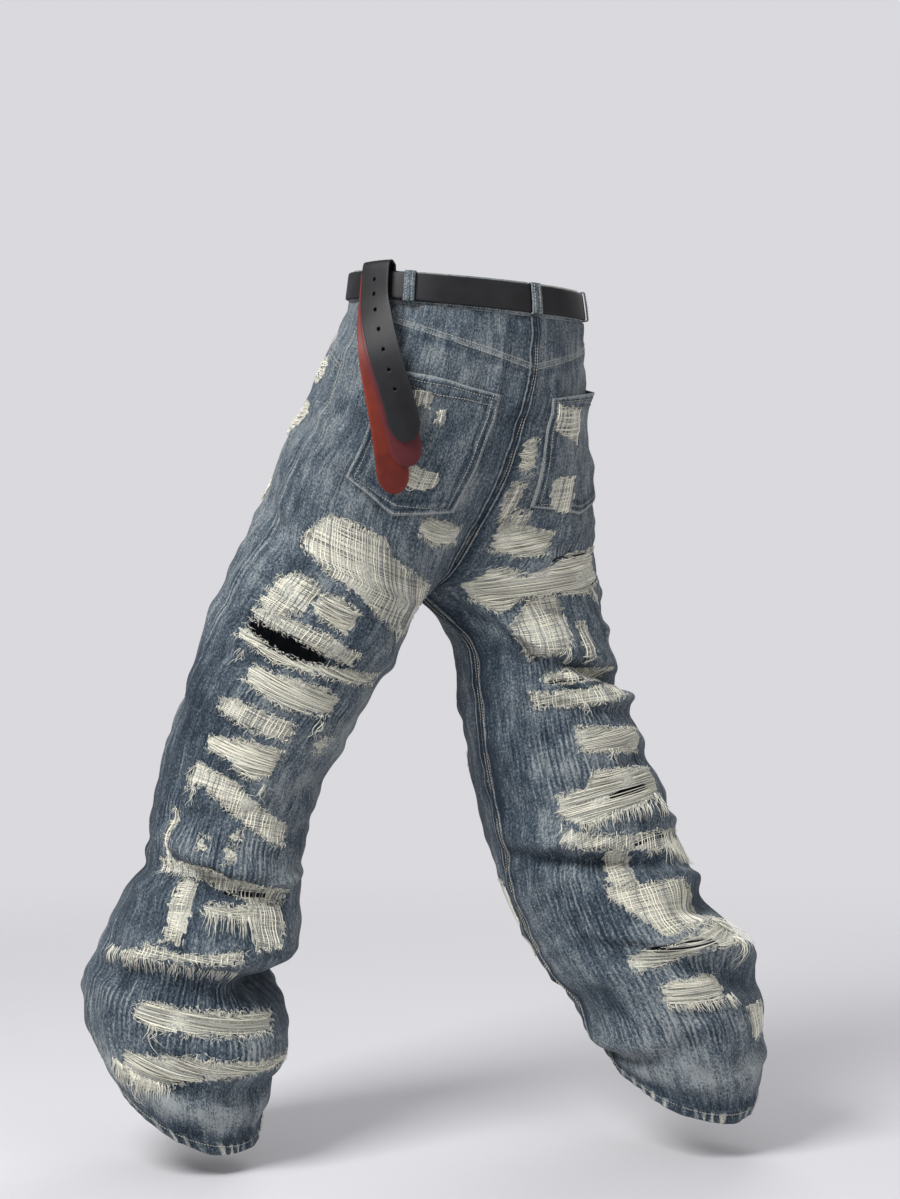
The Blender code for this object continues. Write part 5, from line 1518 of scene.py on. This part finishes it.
# Loose tufts that hang free of the cloth. Columns: leg, share, station, threads, length and
# how far the ends stand off
TUFTS = (
    ("left", 0.20, 0.500, 7, 0.022, 0.006), ("left", 0.58, 0.536, 6, 0.020, 0.006),
    ("left", 0.50, 0.632, 8, 0.024, 0.007), ("left", 0.24, 0.668, 6, 0.020, 0.006),
    ("left", 0.28, 0.940, 7, 0.026, 0.006), ("left", 0.22, 1.004, 9, 0.030, 0.007),
    ("left", 0.66, 0.400, 5, 0.018, 0.005), ("left", -0.60, 0.588, 7, 0.024, 0.006),
    ("right", 0.24, 0.845, 12, 0.030, 0.009), ("right", 0.30, 0.864, 9, 0.026, 0.009),
    ("right", 0.38, 0.405, 7, 0.022, 0.006), ("right", 0.60, 0.464, 6, 0.022, 0.006),
    ("right", 0.34, 0.690, 8, 0.024, 0.007), ("right", 0.50, 0.620, 6, 0.020, 0.006),
    ("right", -0.54, 0.616, 7, 0.024, 0.006), ("right", 0.56, 0.550, 6, 0.020, 0.006),
)


def hanging_tuft(strands, row, chance):
    """A few long, curling threads that hang from one place."""
    leg, share, station, count, length, stands = row
    steps = np.linspace(0, 1, 9)
    for _ in range(count):
        reach = length * chance.uniform(0.5, 1.2)
        curl = chance.uniform(0.004, 0.014) * np.sin(steps * chance.uniform(2, 8) + chance.uniform(0, 6)) * steps
        line_share = share + chance.normal(0, 0.008) + (chance.normal(0, 0.010) * steps + curl / 2 / PANEL_WIDTH)
        line, normal = on_map(leg, line_share, station - 0.003 + reach * steps)
        off = 0.0008 + stands * chance.uniform(0.2, 1.0) * np.sin(steps * chance.uniform(1.4, 3.0))
        line = line + normal * np.maximum(off, 0.0008)[:, None]
        strands.add(line, normal, 0.0005, chance.uniform(0.6, 1.1), 3, 1.0 - 0.5 * steps)


for leg in ("left", "right"):
    chance = np.random.default_rng(30 if leg == "left" else 31)
    strands = Strands()
    for row in TUFTS:
        if row[0] == leg:
            hanging_tuft(strands, row, chance)
    for row in TORN:
        if row[0] == leg:
            frayed_edge(strands, leg, row[2], 1, chance, 0.0050)
            frayed_edge(strands, leg, row[2], -1, chance, 0.0022, 0.0022)
            frayed_edge(strands, leg, row[3], 1, chance, 0.0042)
            frayed_edge(strands, leg, row[3], -1, chance, 0.0030, 0.0026)
    strands.make(f"frayed_edges_{leg}", RAW_COTTON)

# %% [markdown]
# Where the cloth folds over at a tear, longer ends hang down in a fringe. The six largest
# stand in the solids too, and these finer ones take their place.

# %% Hanging fringes
# Columns: solid, leg, station, share from and to, strands, length
FRINGES = (
    ("fringe_knee_left", "left", 0.814, 0.38, 0.58, 60, 0.016),
    ("fringe_calf_left", "left", 0.868, 0.04, 0.52, 130, 0.014),
    ("fringe_shin_left", "left", 1.000, 0.12, 0.34, 90, 0.026),
    ("fringe_knee_right", "right", 0.700, 0.30, 0.68, 90, 0.018),
    ("fringe_side_right", "right", 0.752, 0.18, 0.34, 80, 0.032),
    ("fringe_shin_right", "right", 0.922, 0.36, 0.60, 80, 0.010),
)
FRINGE_SHORTENS = 0.35
for order, (name, leg, station, start, end, count, length) in enumerate(FRINGES):
    chance = np.random.default_rng(50 + order)
    strands = Strands()
    steps = np.linspace(0, 1, 6)
    for _ in range(count):
        share = chance.uniform(start, end)
        reach = length * chance.uniform(0.35, 1.1) * (1 - FRINGE_SHORTENS * (share - start) / (end - start))
        line_share = share + chance.normal(0, 0.006) * steps**1.3 + 0.002 * np.sin(steps * chance.uniform(2, 7))
        line_station = station + chance.normal(0, 0.0015) - 0.004 * (1 - steps) + reach * steps
        line, normal = on_map(leg, line_share, line_station)
        lean = 0.0006 + chance.uniform(0.0005, 0.0050) * steps
        line = line + normal * lean[:, None]
        taper = 1.0 - 0.6 * steps
        strands.add(line, normal, 0.00055, chance.uniform(0.5, 1.05), 3, taper)
    strands.make(f"fine_{name}", RAW_COTTON, [name])

# %% [markdown]
# Sewing is what makes denim read as denim. A stitch is a short, fat thread that sinks at
# both ends, and a row of them is laid along each seam.

# %% Stitching
STITCH_PITCH = 0.0036
STITCH_LONG = 0.0025
STITCH_RADIUS = 0.00055


def stitch_row(strands, points, normals, chance):
    """Stitches along a line of points on the cloth."""
    steps = np.linalg.norm(np.diff(points, axis=0), axis=1)
    run = np.concatenate([[0], np.cumsum(steps)])
    places = np.arange(STITCH_PITCH, run[-1] - STITCH_LONG, STITCH_PITCH)
    share = np.array([-0.5, 0.0, 0.5]) * STITCH_LONG
    wanted = places[:, None] + share
    line = np.stack([np.interp(wanted, run, column) for column in points.T], -1)
    normal = np.stack([np.interp(wanted, run, column) for column in normals.T], -1)
    line += normal * np.array([0.0000, 0.0004, 0.0000])[None, :, None]
    for index in range(len(places)):
        strands.add(line[index], normal[index], STITCH_RADIUS, chance.uniform(0.45, 1.0), 3, (0.55, 1.0, 0.55))


def seam_line(strands, leg, share, station, chance, lift=0.0010, fine=True):
    share, station = np.broadcast_arrays(share, station)
    normal = outward(leg, share, station, fine)
    stitch_row(strands, cloth_point(leg, share, station, fine) + normal * np.asarray(lift)[..., None], normal, chance)


chance = np.random.default_rng(70)
for leg in ("left", "right"):
    strands = Strands()
    long = np.linspace(CROTCH + 0.006, HEM - 0.002, 420)
    for across in (0.0014, 0.0056):
        seam_line(strands, leg, 1 - across / PANEL_WIDTH + 0 * long, long, chance, 0.0012 + 0 * long)
    around = np.linspace(SEAM_SHARE, 1 - SEAM_SHARE, 160)
    for half in (1, -1):
        seam_line(strands, leg, half * around, HEM - HEM_HEIGHT + 0.0022 + 0 * around, chance, 0.0014 + 0 * around)
    for above in (-0.0024, -0.0086):
        seam_line(strands, leg, around, yoke_edge(around) + above, chance, 0.0007 + 0 * around)
    mouth = np.linspace(-POCKET_MOUTH_SHARE + 0.01, -SEAM_SHARE, 120)
    for below in (0.0024, 0.0084):
        seam_line(strands, leg, mouth, pocket_mouth(mouth) + below, chance, 0.0007 + 0 * mouth)
    hip = np.linspace(YOKE_AT_SIDE, 0.20, 80)
    seam_line(strands, leg, 0.0024 / PANEL_WIDTH + 0 * hip, hip, chance, 0.0010 + 0 * hip)
    for inset in (0.016, 0.066):
        outline = [(inset, 0.0), (inset, 1 - 0.55 * inset), (0.5, 1 - 1.1 * inset), (1 - inset, 1 - 0.55 * inset),
                   (1 - inset, 0.0)]
        corners = np.array(outline)
        keys = np.linspace(0, 1, 5)
        t = np.linspace(0, 1, 300)
        across, down = np.interp(t, keys, corners[:, 0]), np.interp(t, keys, corners[:, 1])
        share, station, lift = pocket_place(leg, across, down)
        seam_line(strands, leg, share, station, chance, lift + 0.0004)
    for down in (0.045, 0.105):
        across = np.linspace(0.02, 0.98, 120)
        share, station, lift = pocket_place(leg, across, down + 0 * across)
        seam_line(strands, leg, share, station, chance, lift + 0.0005)
    strands.make(f"stitching_{leg}", SEWING_THREAD)

# %% Stitching at the centre and the waist
strands = Strands()
rise = np.linspace(WAISTBAND + 0.002, CROTCH - 0.002, 200)
for across in (0.0014, 0.0058):
    seam_line(strands, "right", 1 - across / PANEL_WIDTH + 0 * rise, rise, chance, 0.0010 + 0 * rise)
# The fly: two rows run down beside the centre front and curve back to it
FLY_LONG = 0.150
FLY_WIDE = 0.034
down = np.linspace(0, 1, 120)
for inset in (0.0, 0.006):
    across = (FLY_WIDE - inset) * np.sqrt(np.clip(1 - smooth(0.62, 1.0, down) ** 1.6, 0, 1))
    station = WAISTBAND + 0.002 + (FLY_LONG - inset) * down
    seam_line(strands, "left", -1 + np.maximum(across, 0.001) / PANEL_WIDTH, station, chance, 0.0008 + 0 * down)
front = np.linspace(WAISTBAND + 0.002, CROTCH - 0.004, 200)
seam_line(strands, "left", -1 + 0.0022 / PANEL_WIDTH + 0 * front, front, chance, 0.0010 + 0 * front)
turns = np.linspace(0.001, 0.999, 700)
for station in (0.0016, WAISTBAND - 0.0030):
    points, normals = round_waist(turns, station + 0 * turns, BAND_CLOTH - CLOTH + 0.0003)
    stitch_row(strands, points, normals, chance)
strands.make("stitching_waist", SEWING_THREAD)

# %% [markdown]
# Each belt loop is a folded strip, tacked above and below. It is a grid bent over the
# belt, thickened with Solidify and stitched down both edges.


# %% Belt loops
def loop_line(turn):
    """Stations and distances out along the middle of a loop, from below to above the belt."""
    face = BAND_CLOTH - CLOTH + SEAM_GAP
    over = float(belt_out(turn)) + BELT_THICK + 0.0012 + LOOP_CLOTH
    high, low = 0.0008, WAISTBAND - 0.0014
    corners = ((low, face), (low - 0.0004, over - 0.0008), (low - 0.0022, over), (0.019, over + 0.0005),
               (high + 0.0022, over), (high + 0.0004, over - 0.0008), (high, face))
    keys = np.linspace(0, 1, len(corners))
    t = np.linspace(0, 1, 34)
    return np.interp(t, keys, [c[0] for c in corners]), np.interp(t, keys, [c[1] for c in corners])


loop_stitches = Strands()
for number, (leg, share) in enumerate(LOOPS, 1):
    turn = (share + 1) / 4 if leg == "left" else (3 - share) / 4
    stations, outs = loop_line(turn)
    half = LOOP_WIDE / 2 / 0.86
    turns = turn + np.linspace(-half, half, 9)[None, :]
    rounded = -0.0005 * np.abs(np.linspace(-1, 1, 9))[None, :] ** 4
    points, normals = round_waist(turns + 0 * stations[:, None], stations[:, None] + 0 * turns,
                                  outs[:, None] + rounded)
    loop = grid_sheet(34, 9)
    set_points(loop, points)
    rim = np.abs(np.linspace(-1, 1, 9))[None, :] + 0 * stations[:, None]
    set_value(loop, "wear_and_shade", 0.42 + 0.28 * smooth(0.6, 1.0, rim))
    set_value(loop, "ribs", 0 * rim)
    set_value(loop, "torn", 0 * rim)
    set_uv(loop, turns * 0.86 + 0 * stations[:, None], stations[:, None] + 0 * turns)
    middle = points[17, 4] - points[17].mean(axis=0) + normals[17, 4]
    face_outwards(loop, np.repeat(normals[17:18], 34, axis=0) + 0 * points)
    loop.data.materials.append(DENIM)
    apply_modifier(loop, "SOLIDIFY", thickness=LOOP_CLOTH - 0.0004, offset=-1)
    finish_piece(loop, f"loop_cloth_{number}", None, [f"belt_loop_{number}"])
    for column in (2, 6):
        stitch_row(loop_stitches, points[4:30, column], normals[4:30, column], chance)
loop_stitches.make("stitching_loops", SEWING_THREAD)

# %% [markdown]
# The buckle and the button keep their solids and get a brushed, slightly worn metal.

# %% Metal
METAL, tree, shader = new_material("worn_metal")
place = add_node(tree, "ShaderNodeTexCoord").outputs["Object"]
brushed = noise(tree, add_node(tree, "ShaderNodeMapping", {"Vector": place, "Scale": (60, 60, 2600)}).outputs[0], 1, 3)
worn = noise(tree, place, 160, 4)
tree.links.new(blend(tree, worn, (0.36, 0.34, 0.31, 1), (0.62, 0.60, 0.56, 1)), shader.inputs["Base Color"])
tree.links.new(formula(tree, "MULTIPLY_ADD", brushed, 0.22, 0.24), shader.inputs["Roughness"])
tree.links.new(add_node(tree, "ShaderNodeBump", {"Height": brushed, "Strength": 0.15, "Distance": 0.0003}).outputs[0],
               shader.inputs["Normal"])
shader.inputs["Metallic"].default_value = 1.0
for node in ("buckle_frame", "buckle_prong", "waist_button"):
    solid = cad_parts[node]
    solid.data.materials.clear()
    solid.data.materials.append(METAL)

# %% [markdown]
# The studio: a pale floor that fades into the pale backdrop, one large soft light from
# the upper left of the view, and a weaker one from the right.

# %% Studio
FLOOR_LEVEL = -1.062
BACKDROP = (0.700, 0.693, 0.722, 1)
bpy.ops.mesh.primitive_circle_add(vertices=96, radius=3.2, fill_type="NGON", location=(0, 0, FLOOR_LEVEL))
floor = bpy.context.object
floor.name = "floor"
material, tree, shader = new_material("floor")
shader.inputs["Base Color"].default_value = (0.66, 0.655, 0.675, 1)
shader.inputs["Roughness"].default_value = 0.75
place = add_node(tree, "ShaderNodeTexCoord").outputs["Object"]
distance = add_node(tree, "ShaderNodeVectorMath", {0: place}, operation="LENGTH").outputs["Value"]
clear = add_node(tree, "ShaderNodeBsdfTransparent")
mix = add_node(tree, "ShaderNodeMixShader", {0: ramp(tree, distance, 0.7, 2.6), 1: shader.outputs[0],
                                             2: clear.outputs[0]})
tree.links.new(mix.outputs[0], tree.nodes["Material Output"].inputs["Surface"])
floor.data.materials.append(material)

world = bpy.data.worlds.new("studio")
world.use_nodes = True
# The backdrop is seen at full strength, but a real one stands well behind and lights less
tree = world.node_tree
seen = tree.nodes["Background"]
seen.inputs["Color"].default_value = BACKDROP
room = add_node(tree, "ShaderNodeBackground", {0: BACKDROP, 1: 0.55})
which = add_node(tree, "ShaderNodeMixShader", {0: add_node(tree, "ShaderNodeLightPath").outputs["Is Camera Ray"],
                                               1: room.outputs[0], 2: seen.outputs[0]})
tree.links.new(which.outputs[0], tree.nodes["World Output"].inputs["Surface"])
scene.world = world


def soft_light(name, side, height, away, size, power):
    """A square light placed by the line of sight, side to the right and away to the camera."""
    data = bpy.data.lights.new(name, "AREA")
    data.shape = "SQUARE"
    data.size = size
    data.energy = power
    light = bpy.data.objects.new(name, data)
    light.location = RIGHT_OF_VIEW * side - LOOK * away + Vector((0, 0, height))
    target = Vector((0.05, 0, -0.5))
    light.rotation_euler = (target - light.location).to_track_quat("-Z", "Y").to_euler()
    scene.collection.objects.link(light)


soft_light("key", -1.5, 1.5, 1.5, 1.2, 88)
soft_light("fill", 1.8, 0.2, 1.4, 1.6, 9)
soft_light("back", 0.6, 1.4, -2.2, 1.6, 30)
